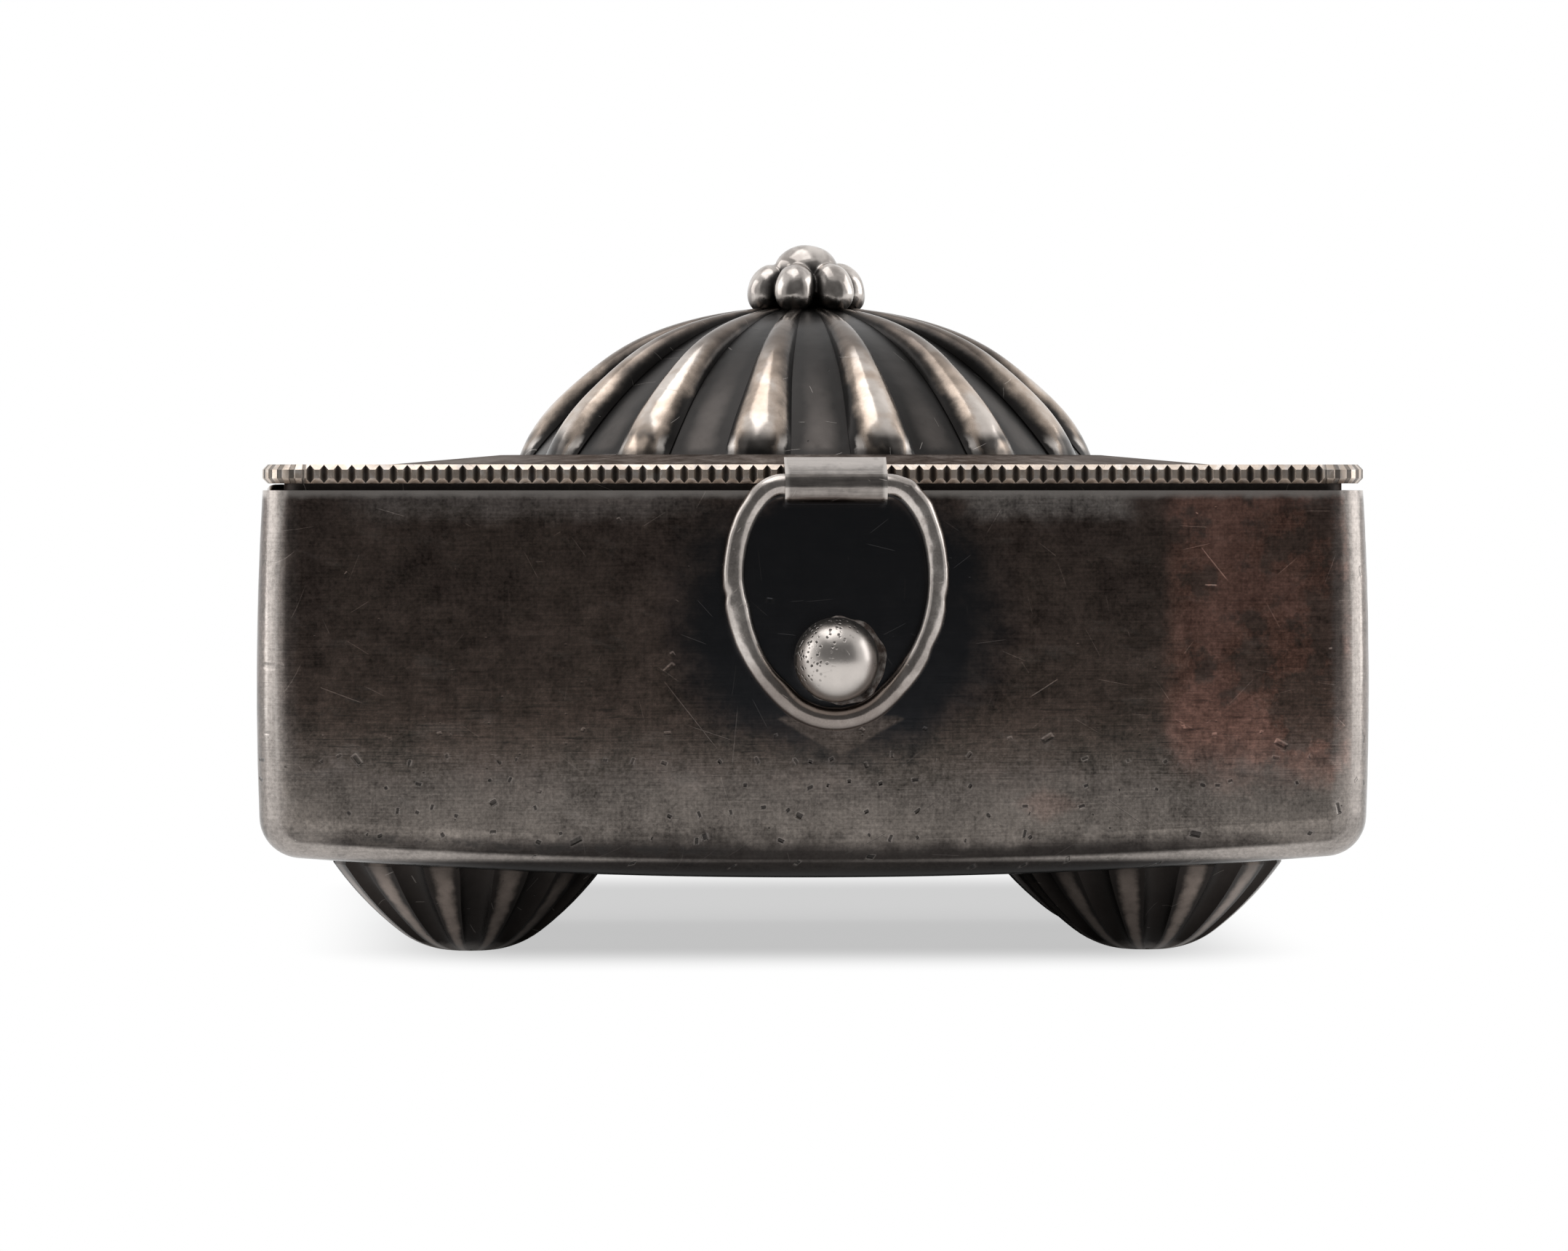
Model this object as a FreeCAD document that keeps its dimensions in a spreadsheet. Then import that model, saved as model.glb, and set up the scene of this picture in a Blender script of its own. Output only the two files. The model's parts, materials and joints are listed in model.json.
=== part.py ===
"""A small hand-made silver box: a bulged wall band on a dished bottom pan with four fluted
feet, and a hinged lid with a filed rim, a fluted dome, a bead finial and a ring clasp that
drops over a ball on the front wall.

Millimetres. +Z is up, -Y is the front, and the table is at z = 0. The origin lies under the
middle of the whole footprint, from the front of the ball to the back of the hinge.
"""

import FreeCAD
import Part
import Sketcher
import math
import os

from FreeCAD import Placement, Rotation, Vector

doc = FreeCAD.newDocument("silver_box")
dims = doc.addObject("Spreadsheet::Sheet", "dims")

# Driving dimensions: name, size, what it is
DIMENSIONS = (
    ("box_width", 64.0, "outside width at the top of the walls"),
    ("box_depth", 48.0, "outside depth at the top of the walls"),
    ("corner_radius", 2.6, "outside radius of the upright corners"),
    ("wall_sheet", 0.9, "thickness of the wall and pan sheet"),
    ("wall_bulge", 0.35, "how far each wall swells out at half height"),
    ("wall_top", 27.2, "height of the wall's top edge above the table"),
    ("pan_clearance", 4.1, "lowest point of the pan above the table"),
    ("pan_sag", 1.35, "how far the pan's middle hangs below the middle of its short edges"),
    ("pan_edge_radius", 2.4, "outside roundover between the pan and the walls"),
    ("seam_rise", 1.5, "height of the solder seam above the pan's underside"),
    ("foot_radius", 8.1, "radius of a foot over its ridges, where it meets the pan"),
    ("foot_shoulder", 5.2, "height of a foot where its curve reaches the full radius"),
    ("foot_flat", 0.8, "radius of the worn flat that a foot stands on"),
    ("foot_toe_arc", 5.6, "radius of the curve that rises from that flat"),
    ("foot_toe", 4.2, "radius of a foot where the toe's curve meets the side's curve"),
    ("foot_inset", 3.9, "from the walls to the edge of a foot"),
    ("foot_wall", 1.1, "wall of a foot over its ridges"),
    ("foot_flutes", 12, "flutes round a foot"),
    ("foot_flute_width", 2.2, "width of a foot's flute at the pan"),
    ("foot_flute_depth", 0.55, "depth of a foot's flute at the pan"),
    ("foot_turn", 3.0, "turn of the flutes about a foot's axis, in degrees"),
    ("rib_root", 0.4, "how far a ridge is rooted in the dome's sheet, and a flute cutter stands clear"),
    ("ball_radius", 2.45, "radius of the catch ball"),
    ("ball_stand", 2.3, "from the plane of the wall's top edge to the ball's centre"),
    ("ball_drop", 10.05, "from the clasp's pivot down to the ball's centre"),
    ("lid_gap", 0.4, "gap between the walls and the closed lid"),
    ("rim_height", 1.1, "height of the lid's rim wire"),
    ("rim_width", 1.1, "width of the lid's rim wire"),
    ("rim_chamfer", 0.3, "bevel along the rim's outer edges"),
    ("notch_pitch", 0.8, "spacing of the file cuts along the rim"),
    ("notch_width", 0.5, "width of a file cut"),
    ("notch_depth", 0.28, "depth of a file cut"),
    ("lid_sheet", 0.8, "thickness of the lid plate"),
    ("lid_recess", 0.1, "how far the plate lies below the top of the rim"),
    ("lid_rise", 0.7, "how far the plate rises towards the dome"),
    ("lid_border", 0.6, "flat strip from the rim to the foot of that rise, at the front and back"),
    ("lid_side_border", 4.5, "flat strip from the rim to the foot of that rise, at the short sides"),
    ("lid_seat", 0.5, "flat margin round the dome on top of that rise"),
    ("bezel_sheet", 0.7, "thickness of the strip that keys the lid into the walls"),
    ("bezel_height", 1.6, "height of that strip under the lid plate"),
    ("bezel_gap", 0.35, "gap between that strip and the walls"),
    ("dome_shift", 0.35, "from the middle of the lid to the dome's axis, to the right"),
    ("dome_radius", 16.6, "radius of the dome between its ridges, at the lid"),
    ("dome_height", 9.0, "height of the dome"),
    ("dome_shoulder_radius", 10.6, "radius where the dome's side curve meets its top curve"),
    ("dome_shoulder_height", 5.65, "height of that place above the lid"),
    ("dome_sheet", 0.8, "thickness of the dome's sheet between its ridges"),
    ("dome_ridges", 14, "ridges round the dome"),
    ("dome_ridge_width", 3.9, "width of a dome ridge at the lid"),
    ("dome_ridge_height", 1.1, "greatest height of a dome ridge over the sheet"),
    ("dome_turn", 0.8, "turn of the ridges about the dome's axis, in degrees"),
    ("bead_radius", 1.18, "radius of a finial side bead"),
    ("bead_gap", 0.06, "gap between neighbouring side beads"),
    ("bead_sink", 0.3, "how far a side bead is sunk into the dome"),
    ("top_bead_radius", 1.75, "radius of the finial's top bead"),
    ("top_bead_lift", 1.2, "from the side beads' centres up to the top bead's centre"),
    ("clasp_shift", 1.1, "from the middle of the front to the clasp, to the right"),
    ("clasp_length", 5.9, "length of the clasp's knuckle"),
    ("clasp_sheet", 0.42, "thickness of the strip that makes the clasp's knuckle"),
    ("clasp_stand", 1.35, "from the plane of the front wall's top edge to the clasp's pivot"),
    ("clasp_drop", 0.1, "from the underside of the rim down to the clasp's pivot"),
    ("ring_wire", 0.67, "radius of the ring's wire"),
    ("ring_half_width", 5.93, "from the ring's middle to the centre of its side wire"),
    ("ring_length", 13.5, "from the pivot down to the centre of the ring's lowest wire"),
    ("ring_side_start", 4.4, "from the pivot down to where the ring's sides start to close in"),
    ("ring_bottom_radius", 4.0, "bend of the ring's lowest stretch, at the wire's centre"),
    ("running_gap", 0.05, "play of a wire or pin in a knuckle that turns on it"),
    ("hinge_radius", 1.2, "outside radius of the hinge knuckles"),
    ("hinge_stand", 1.35, "from the plane of the back wall's top edge to the hinge pin"),
    ("pin_radius", 0.5, "radius of the hinge pin"),
    ("pin_head", 0.35, "how far the riveted pin stands out at each end"),
    ("knuckle_length", 8.0, "length of a hinge knuckle on the box"),
    ("lid_knuckle_length", 13.0, "length of the hinge knuckle on the lid"),
    ("knuckle_gap", 0.15, "end play between hinge knuckles"),
    ("saddle_reach", 2.3, "how far a knuckle's solder saddle reaches along the wall"),
)
for row, (name, size, meaning) in enumerate(DIMENSIONS, start=1):
    dims.set(f"A{row}", meaning)
    dims.set(f"B{row}", str(size))
    dims.setAlias(f"B{row}", name)
doc.recompute()

# Places that several pieces share, as formulas on the driving dimensions
CENTRE_Y = "((dims.ball_stand + dims.ball_radius - dims.hinge_stand - dims.hinge_radius) / 2)"
DISH_RADIUS = "((dims.box_width * dims.box_width / 4 + dims.pan_sag * dims.pan_sag) / (2 * dims.pan_sag))"
RIM_BOTTOM = "(dims.wall_top + dims.lid_gap)"
RIM_TOP = f"({RIM_BOTTOM} + dims.rim_height)"
PLATE_TOP = f"({RIM_TOP} - dims.lid_recess)"
DOME_SEAT = f"({PLATE_TOP} + dims.lid_rise)"
DOME_REACH = "(dims.dome_radius + dims.dome_ridge_height)"
HINGE_Y = f"({CENTRE_Y} + dims.box_depth / 2 + dims.hinge_stand)"
HINGE_Z = "(dims.wall_top + dims.lid_gap / 2)"
CLASP_Y = f"({CENTRE_Y} - dims.box_depth / 2 - dims.clasp_stand)"
CLASP_Z = f"({RIM_BOTTOM} - dims.clasp_drop)"
FOOT_X = "(dims.box_width / 2 - dims.foot_inset - dims.foot_radius)"
FOOT_Y = "(dims.box_depth / 2 - dims.foot_inset - dims.foot_radius)"
BEAD_RING = "(2 * dims.bead_radius + dims.bead_gap)"
SIDE_BEADS = 6


def value(formula):
    """The number that a formula on the driving dimensions gives."""
    return float(dims.evalExpression(str(formula)))


def place(piece, x="0", y="0", z="0"):
    """Binds a piece's position to formulas."""
    for axis, formula in (("x", x), ("y", y), ("z", z)):
        piece.setExpression(f"Placement.Base.{axis}", formula)
    return piece


def bind(piece, **formulas):
    """Binds a piece's properties to formulas."""
    for name, formula in formulas.items():
        piece.setExpression(name, formula)
    return piece


def new_body(label):
    return doc.addObject("PartDesign::Body", label)


def sketch_on(body, plane, name, height=None):
    """A sketch on one of the body's own origin planes, raised by a formula if one is given."""
    sketch = body.newObject("Sketcher::SketchObject", name)
    origin_plane = next(f for f in body.Origin.OriginFeatures if f.Role == plane)
    sketch.AttachmentSupport = (origin_plane, "")
    sketch.MapMode = "FlatFace"
    if height is not None:
        sketch.setExpression("AttachmentOffset.Base.z", height)
    return sketch


def arc_between(start, end, radius, turn):
    """An arc under a half circle from start to end; turn is 1 to the left and -1 to the right."""
    chord = end - start
    middle = (start + end) * 0.5
    side = Vector(-chord.y, chord.x, 0) * (turn / chord.Length)
    centre = middle + side * math.sqrt(max(radius**2 - chord.Length**2 / 4, 0))
    first, last = (start, end) if turn > 0 else (end, start)
    angles = [math.atan2(p.y - centre.y, p.x - centre.x) for p in (first, last)]
    return Part.ArcOfCircle(Part.Circle(centre, Vector(0, 0, 1), radius), *angles)


def fix_number(sketch, formula, kind, *elements):
    """Adds a dimension to a sketch and binds it to its formula."""
    index = sketch.addConstraint(Sketcher.Constraint(kind, *elements, value(formula)))
    sketch.setExpression(f"Constraints[{index}]", formula)


def fix_point(sketch, geometry, end, x, y):
    """Ties an end of an edge to a place given by two formulas."""
    for formula, kind, axis in ((x, "DistanceX", -2), (y, "DistanceY", -1)):
        if formula == "0":
            sketch.addConstraint(Sketcher.Constraint("PointOnObject", geometry, end, axis))
        else:
            fix_number(sketch, formula, kind, -1, 1, geometry, end)


def outline(sketch, *corners):
    """A closed outline. A corner is (x, y), and (x, y, radius, turn) where an arc leaves it."""
    points = [Vector(value(c[0]), value(c[1]), 0) for c in corners]
    starts, ends = [], []
    for corner, point, following in zip(corners, points, points[1:] + points[:1]):
        if len(corner) == 2:
            edge = sketch.addGeometry(Part.LineSegment(point, following))
            starts.append((edge, 1))
            ends.append((edge, 2))
            continue
        radius, turn = corner[2:]
        edge = sketch.addGeometry(arc_between(point, following, value(radius), turn))
        starts.append((edge, 1 if turn > 0 else 2))
        ends.append((edge, 2 if turn > 0 else 1))
    for end, start in zip(ends, starts[1:] + starts[:1]):
        sketch.addConstraint(Sketcher.Constraint("Coincident", *end, *start))
    for corner, start in zip(corners, starts):
        fix_point(sketch, *start, *corner[:2])
        if len(corner) > 2:
            fix_number(sketch, corner[2], "Radius", start[0])
    return sketch


def rounded_rectangle(sketch, width, depth, radius):
    """A rectangle round the sketch's origin with rounded corners."""
    right, back = f"(({width}) / 2)", f"(({depth}) / 2)"
    inner_right, inner_back = f"({right} - ({radius}))", f"({back} - ({radius}))"
    return outline(
        sketch,
        (f"-{inner_right}", f"-{back}"),
        (inner_right, f"-{back}", radius, 1),
        (right, f"-{inner_back}"),
        (right, inner_back, radius, 1),
        (inner_right, back),
        (f"-{inner_right}", back, radius, 1),
        (f"-{right}", inner_back),
        (f"-{right}", f"-{inner_back}", radius, 1),
    )


def circle(sketch, x, y, radius):
    """A circle whose centre and radius are formulas."""
    centre = Vector(value(x), value(y), 0)
    geometry = sketch.addGeometry(Part.Circle(centre, Vector(0, 0, 1), value(radius)))
    fix_point(sketch, geometry, 3, x, y)
    fix_number(sketch, radius, "Radius", geometry)
    return sketch


def revolve(body, sketch, kind="PartDesign::Revolution"):
    """Turns a sketch a full circle about the sketch's upright axis."""
    feature = body.newObject(kind, f"{sketch.Name}_turned")
    feature.Profile = sketch
    feature.ReferenceAxis = (sketch, ["V_Axis"])
    feature.Angle = 360
    doc.recompute()
    return feature


def pad(body, sketch, length, midplane=False):
    feature = body.newObject("PartDesign::Pad", f"{sketch.Name}_pad")
    feature.Profile = sketch
    feature.Midplane = midplane
    feature.setExpression("Length", length)
    doc.recompute()
    return feature


def edge_names(feature, wanted):
    """The names of a feature's edges that a test picks out."""
    return [f"Edge{n}" for n, edge in enumerate(feature.Shape.Edges, start=1) if wanted(edge)]


def boolean(kind, label, base, tool):
    """A Part boolean of two pieces."""
    result = doc.addObject(f"Part::{kind}", label)
    result.Base, result.Tool = base, tool
    doc.recompute()
    return result


# The box: one bulged, dished shell, parted at the solder seam into band and pan


def bulged_block(label, inset):
    """The space inside an outline that lies inset from the walls' outside, swelling at half height."""
    body = place(new_body(label), y=CENTRE_Y)
    levels = (
        ("dims.pan_clearance", "0"),
        ("((dims.pan_clearance + dims.wall_top) / 2)", "dims.wall_bulge"),
        ("dims.wall_top", "0"),
    )
    sections = []
    for number, (height, swell) in enumerate(levels):
        section = sketch_on(body, "XY_Plane", f"{label}_section_{number}", height)
        growth = f"2 * ({swell} - ({inset}))"
        rounded_rectangle(
            section,
            f"(dims.box_width + {growth})",
            f"(dims.box_depth + {growth})",
            f"(dims.corner_radius + {swell} - ({inset}))",
        )
        sections.append(section)
    loft = body.newObject("PartDesign::AdditiveLoft", f"{label}_loft")
    loft.Profile = sections[0]
    loft.Sections = sections[1:]
    doc.recompute()
    return body


def dish_ball(label, radius, lift="0"):
    """A ball so large that its lowest part is the dish of the pan."""
    ball = doc.addObject("Part::Sphere", label)
    bind(ball, Radius=radius)
    return place(ball, y=CENTRE_Y, z=f"dims.pan_clearance + {DISH_RADIUS} + {lift}")


def dished_block(label, inset):
    """A bulged block whose underside is the dish, with its lower edge rounded over."""
    ball = dish_ball(f"{label}_dish", f"({DISH_RADIUS} - ({inset}))")
    dished = boolean("Common", f"{label}_dished", bulged_block(f"{label}_block", inset), ball)
    ball_centre = ball.Placement.Base
    lower_edges = []
    for number, edge in enumerate(dished.Shape.Edges, start=1):
        middle = edge.valueAt((edge.FirstParameter + edge.LastParameter) / 2)
        ends_on_dish = [abs((v.Point - ball_centre).Length - ball.Radius.Value) for v in edge.Vertexes]
        on_dish = abs((middle - ball_centre).Length - ball.Radius.Value)
        if max(ends_on_dish + [on_dish]) < 1e-3:
            lower_edges.append(number)
    radius = value(f"dims.pan_edge_radius - ({inset})")
    rounded = doc.addObject("Part::Fillet", label)
    rounded.Base = dished
    rounded.Edges = [(number, radius, radius) for number in lower_edges]
    doc.recompute()
    return rounded


def build_box_shell():
    shell = boolean(
        "Cut", "box_shell", dished_block("outer_form", "0"), dished_block("cavity", "dims.wall_sheet")
    )
    seam = dish_ball("seam_ball", DISH_RADIUS, "dims.seam_rise")
    band = boolean("Common", "wall_band", shell, seam)
    pan = boolean("Cut", "bottom_pan", shell, seam)
    return band, pan


# Ribbing: a horn-shaped loft that follows a domed piece's side curve, repeated round its axis


def rib_section(body, name, station, size, raised):
    """One section of a rib, square to the curve: a shallow arch that stands out of the surface or
    dips into it, closed by a flat a little past the surface on the arch's other side."""
    point, along = station
    width, depth = size
    sketch = sketch_on(body, "XY_Plane", name)
    turn = math.degrees(math.atan2(along.x, along.z))
    sketch.AttachmentOffset = Placement(point, Rotation(Vector(0, 1, 0), turn))
    radius = f"((({width})^2 / 4 + ({depth})^2) / (2 * ({depth})))"
    half = f"({width} / 2)"
    flat = "(-dims.rib_root)" if raised else "dims.rib_root"
    return outline(
        sketch,
        (flat, f"-{half}"),
        ("0", f"-{half}", radius, 1 if raised else -1),
        ("0", half),
        (flat, half),
    )


def rib_around(body, stations, width, depth, count, raised):
    """Raises equal ridges round a body, or cuts equal flutes. A station is a point of the side
    curve, the curve's upward direction there, and the shares of full width and depth there."""
    sections = []
    for number, (point, along, width_share, depth_share) in enumerate(stations):
        size = (f"({width} * {width_share})", f"({depth} * {depth_share})")
        sections.append(rib_section(body, f"{body.Name}_rib_{number}", (point, along), size, raised))
    kind = "PartDesign::AdditiveLoft" if raised else "PartDesign::SubtractiveLoft"
    rib = body.newObject(kind, f"{body.Name}_rib")
    rib.Profile = sections[0]
    rib.Sections = sections[1:]
    doc.recompute()
    pattern = body.newObject("PartDesign::PolarPattern", f"{body.Name}_ribs")
    pattern.Originals = [rib]
    upright = next(f for f in body.Origin.OriginFeatures if f.Role == "Z_Axis")
    pattern.Axis = (upright, [""])
    pattern.Angle = 360
    pattern.setExpression("Occurrences", count)
    body.Tip = pattern
    doc.recompute()


def stations_on(*wanted):
    """Stations from (arc, share of the way along it, share of full width, share of full depth)."""
    stations = []
    for arc, share, width_share, depth_share in wanted:
        parameter = arc.FirstParameter + share * (arc.LastParameter - arc.FirstParameter)
        point, along = arc.value(parameter), arc.tangent(parameter)[0]
        stations.append((Vector(point.x, 0, point.y), Vector(along.x, 0, along.y), width_share, depth_share))
    return stations


def tangent_radius(run, rise, along_x, along_y):
    """The radius of an arc that leaves a point in a unit direction and turns left to pass another
    point, which lies run and rise away."""
    return f"((({run})^2 + ({rise})^2) / (2 * (({along_x}) * ({rise}) - ({along_y}) * ({run}))))"


# Feet


def foot_curves(inset):
    """A foot's curve, moved inwards: where its toe starts, where toe meets side, where the side
    ends, and the two radii, as formulas."""
    reach = "(dims.foot_toe - dims.foot_flat)"
    level = f"(sqrt(dims.foot_toe_arc^2 - {reach}^2) / dims.foot_toe_arc)"
    steep = f"({reach} / dims.foot_toe_arc)"
    meet_height = f"(dims.foot_toe_arc - dims.foot_toe_arc * {level})"
    run = "(dims.foot_radius - dims.foot_toe)"
    rise = f"(dims.foot_shoulder - {meet_height})"
    side = tangent_radius(run, rise, level, steep)
    # The side curve's direction at the shoulder, from its centre
    out = f"((dims.foot_radius - dims.foot_toe + {side} * {steep}) / {side})"
    down = f"(({side} * {level} - {rise}) / {side})"
    toe = ("dims.foot_flat", inset)
    meet = (f"(dims.foot_toe - {inset} * {steep})", f"({meet_height} + {inset} * {level})")
    shoulder = (f"(dims.foot_radius - {inset} * {out})", f"(dims.foot_shoulder + {inset} * {down})")
    return toe, meet, shoulder, f"(dims.foot_toe_arc - {inset})", f"({side} - {inset})"


def foot_profile(body, name, inset, top):
    toe, meet, shoulder, toe_radius, side_radius = foot_curves(inset)
    return outline(
        sketch_on(body, "XZ_Plane", name),
        ("0", inset),
        (*toe, toe_radius, 1),
        (*meet, side_radius, 1),
        shoulder,
        (shoulder[0], top),
        ("0", top),
    )


def build_foot(label, x, y):
    """A hollow fluted cap that stands on a small worn flat, trimmed to the dish of the pan."""
    body = place(new_body(f"{label}_cap"), x, f"{CENTRE_Y} + {y}")
    body.setExpression("Placement.Rotation.Angle", "dims.foot_turn * 1 deg")
    top = "(dims.foot_shoulder + dims.pan_sag)"
    revolve(body, foot_profile(body, f"{label}_outside", "0", top))
    revolve(body, foot_profile(body, f"{label}_inside", "dims.foot_wall", top), "PartDesign::Groove")
    *ends, toe_radius, side_radius = foot_curves("0")
    toe_point, meet_point, shoulder_point = (Vector(value(x), value(z), 0) for x, z in ends)
    toe_arc = arc_between(toe_point, meet_point, value(toe_radius), 1)
    side_arc = arc_between(meet_point, shoulder_point, value(side_radius), 1)
    stations = stations_on(
        (toe_arc, 0.1, 0.14, 0.1),
        (toe_arc, 0.9, 0.52, 0.7),
        (side_arc, 0.5, 0.8, 1.0),
        (side_arc, 1.0, 1.0, 1.0),
    )
    above = Vector(shoulder_point.x, 0, value(top) + value("dims.foot_wall"))
    stations.append((above, Vector(0, 0, 1), 1.0, 1.0))
    rib_around(
        body, stations, "dims.foot_flute_width", "dims.foot_flute_depth", "dims.foot_flutes", raised=False
    )
    return boolean("Cut", label, body, dish_ball(f"{label}_seat", DISH_RADIUS))


# Lid


def build_lid_rim():
    """The rim wire: a frame with bevelled outer edges and file cuts along its four sides."""
    body = place(new_body("lid_rim"), y=CENTRE_Y, z=RIM_BOTTOM)
    frame = sketch_on(body, "XY_Plane", "rim_frame")
    rounded_rectangle(frame, "dims.box_width", "dims.box_depth", "dims.corner_radius")
    rounded_rectangle(
        frame,
        "(dims.box_width - 2 * dims.rim_width)",
        "(dims.box_depth - 2 * dims.rim_width)",
        "(dims.corner_radius - dims.rim_width)",
    )
    wire = pad(body, frame, "dims.rim_height")
    level_faces = [face for face in wire.Shape.Faces if abs(face.normalAt(0, 0).z) > 0.99]
    outer_edges = [edge for face in level_faces for edge in face.OuterWire.Edges]
    bevel = body.newObject("PartDesign::Chamfer", "rim_bevel")
    bevel.Base = (wire, edge_names(wire, lambda edge: any(edge.isSame(outer) for outer in outer_edges)))
    bevel.setExpression("Size", "dims.rim_chamfer")
    doc.recompute()
    cut_notches(body, "x")
    cut_notches(body, "y")
    return body


def cut_notches(body, run):
    """Cuts V-shaped file cuts into the two sides of the rim that run along x or along y."""
    along, across = ("box_width", "box_depth") if run == "x" else ("box_depth", "box_width")
    straight = f"(dims.{along} - 2 * dims.corner_radius)"
    count = f"(floor({straight} / dims.notch_pitch) + 1)"
    span = f"(({count} - 1) * dims.notch_pitch)"
    first = f"(-{span} / 2)"
    face = f"(dims.{across} / 2)"
    sketch = sketch_on(body, "XY_Plane", f"notch_{run}")
    for side in ("-", ""):
        tip = f"{side}({face} - dims.notch_depth)"
        mouth = f"{side}({face} + dims.notch_depth)"
        corners = [
            (first, tip),
            (f"({first} + dims.notch_width)", mouth),
            (f"({first} - dims.notch_width)", mouth),
        ]
        outline(sketch, *(corners if run == "x" else [(y, x) for x, y in corners]))
    notch = body.newObject("PartDesign::Pocket", f"notch_{run}_cut")
    notch.Profile = sketch
    notch.Type = "ThroughAll"
    notch.Midplane = True
    doc.recompute()
    pattern = body.newObject("PartDesign::LinearPattern", f"notches_{run}")
    pattern.Originals = [notch]
    axis = next(f for f in body.Origin.OriginFeatures if f.Role == f"{run.upper()}_Axis")
    pattern.Direction = (axis, [""])
    pattern.setExpression("Length", span)
    pattern.setExpression("Occurrences", count)
    body.Tip = pattern
    doc.recompute()


def cushion(body, kind, name, level):
    """A low cushion between the flat strips along the rim and the seat of the dome, added on top of
    the plate or cut into its underside."""
    sections = (
        (
            level,
            "(dims.box_width - 2 * (dims.rim_width + dims.lid_side_border))",
            "(dims.box_depth - 2 * (dims.rim_width + dims.lid_border))",
        ),
        (
            f"({level} + dims.lid_rise)",
            f"(2 * ({DOME_REACH} + dims.lid_seat))",
            f"(2 * ({DOME_REACH} + dims.lid_seat))",
        ),
    )
    sketches = []
    for number, (height, width, depth) in enumerate(sections):
        sketch = sketch_on(body, "XY_Plane", f"{name}_section_{number}", height)
        corner = f"(min({width}; {depth}) / 2 - dims.lid_seat)"
        sketches.append(rounded_rectangle(sketch, width, depth, corner))
    loft = body.newObject(kind, name)
    loft.Profile = sketches[0]
    loft.Sections = sketches[1:]
    doc.recompute()


def build_lid_plate():
    """The lid's sheet: flat along the rim, with a low rise that carries the dome."""
    body = place(new_body("lid_plate"), y=CENTRE_Y, z=f"{PLATE_TOP} - dims.lid_sheet")
    sheet = sketch_on(body, "XY_Plane", "plate_outline")
    rounded_rectangle(
        sheet,
        "(dims.box_width - 2 * dims.rim_width)",
        "(dims.box_depth - 2 * dims.rim_width)",
        "(dims.corner_radius - dims.rim_width)",
    )
    pad(body, sheet, "dims.lid_sheet")
    cushion(body, "PartDesign::AdditiveLoft", "plate_rise", "dims.lid_sheet")
    cushion(body, "PartDesign::SubtractiveLoft", "plate_hollow", "0")
    return body


def build_lid_bezel():
    """A strip frame under the lid plate that keys the closed lid into the walls and shuts the gap."""
    body = place(new_body("lid_bezel"), y=CENTRE_Y, z=f"{PLATE_TOP} - dims.lid_sheet - dims.bezel_height")
    frame = sketch_on(body, "XY_Plane", "bezel_frame")
    outside = "(dims.wall_sheet + dims.bezel_gap)"
    for inset in (outside, f"({outside} + dims.bezel_sheet)"):
        rounded_rectangle(
            frame,
            f"(dims.box_width - 2 * {inset})",
            f"(dims.box_depth - 2 * {inset})",
            f"(dims.corner_radius - {inset})",
        )
    pad(body, frame, "dims.bezel_height")
    return body


def dome_curves(inset):
    """The dome's curve, moved inwards: where it meets the lid, where its side curve meets its top
    curve, and the two radii, as formulas. The top curve's centre is on the dome's axis."""
    drop = "(dims.dome_height - dims.dome_shoulder_height)"
    top = f"((dims.dome_shoulder_radius^2 + {drop}^2) / (2 * {drop}))"
    out = f"(dims.dome_shoulder_radius / {top})"
    up = f"(({top} - {drop}) / {top})"
    run = "(dims.dome_radius - dims.dome_shoulder_radius)"
    side = tangent_radius(run, "dims.dome_shoulder_height", up, out)
    shoulder = (
        f"(dims.dome_shoulder_radius - {inset} * {out})",
        f"(dims.dome_shoulder_height - {inset} * {up})",
    )
    side_centre_x = f"(dims.dome_shoulder_radius - {side} * {out})"
    side_centre_z = f"(dims.dome_shoulder_height - {side} * {up})"
    foot = (f"({side_centre_x} + sqrt(({side} - {inset})^2 - {side_centre_z}^2))", "0")
    return foot, shoulder, f"({side} - {inset})", f"({top} - {inset})"


def dome_profile(body, name, inset):
    foot, shoulder, side_radius, top_radius = dome_curves(inset)
    return outline(
        sketch_on(body, "XZ_Plane", name),
        ("0", "0"),
        (*foot, side_radius, 1),
        (*shoulder, top_radius, 1),
        ("0", f"(dims.dome_height - {inset})"),
    )


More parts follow.
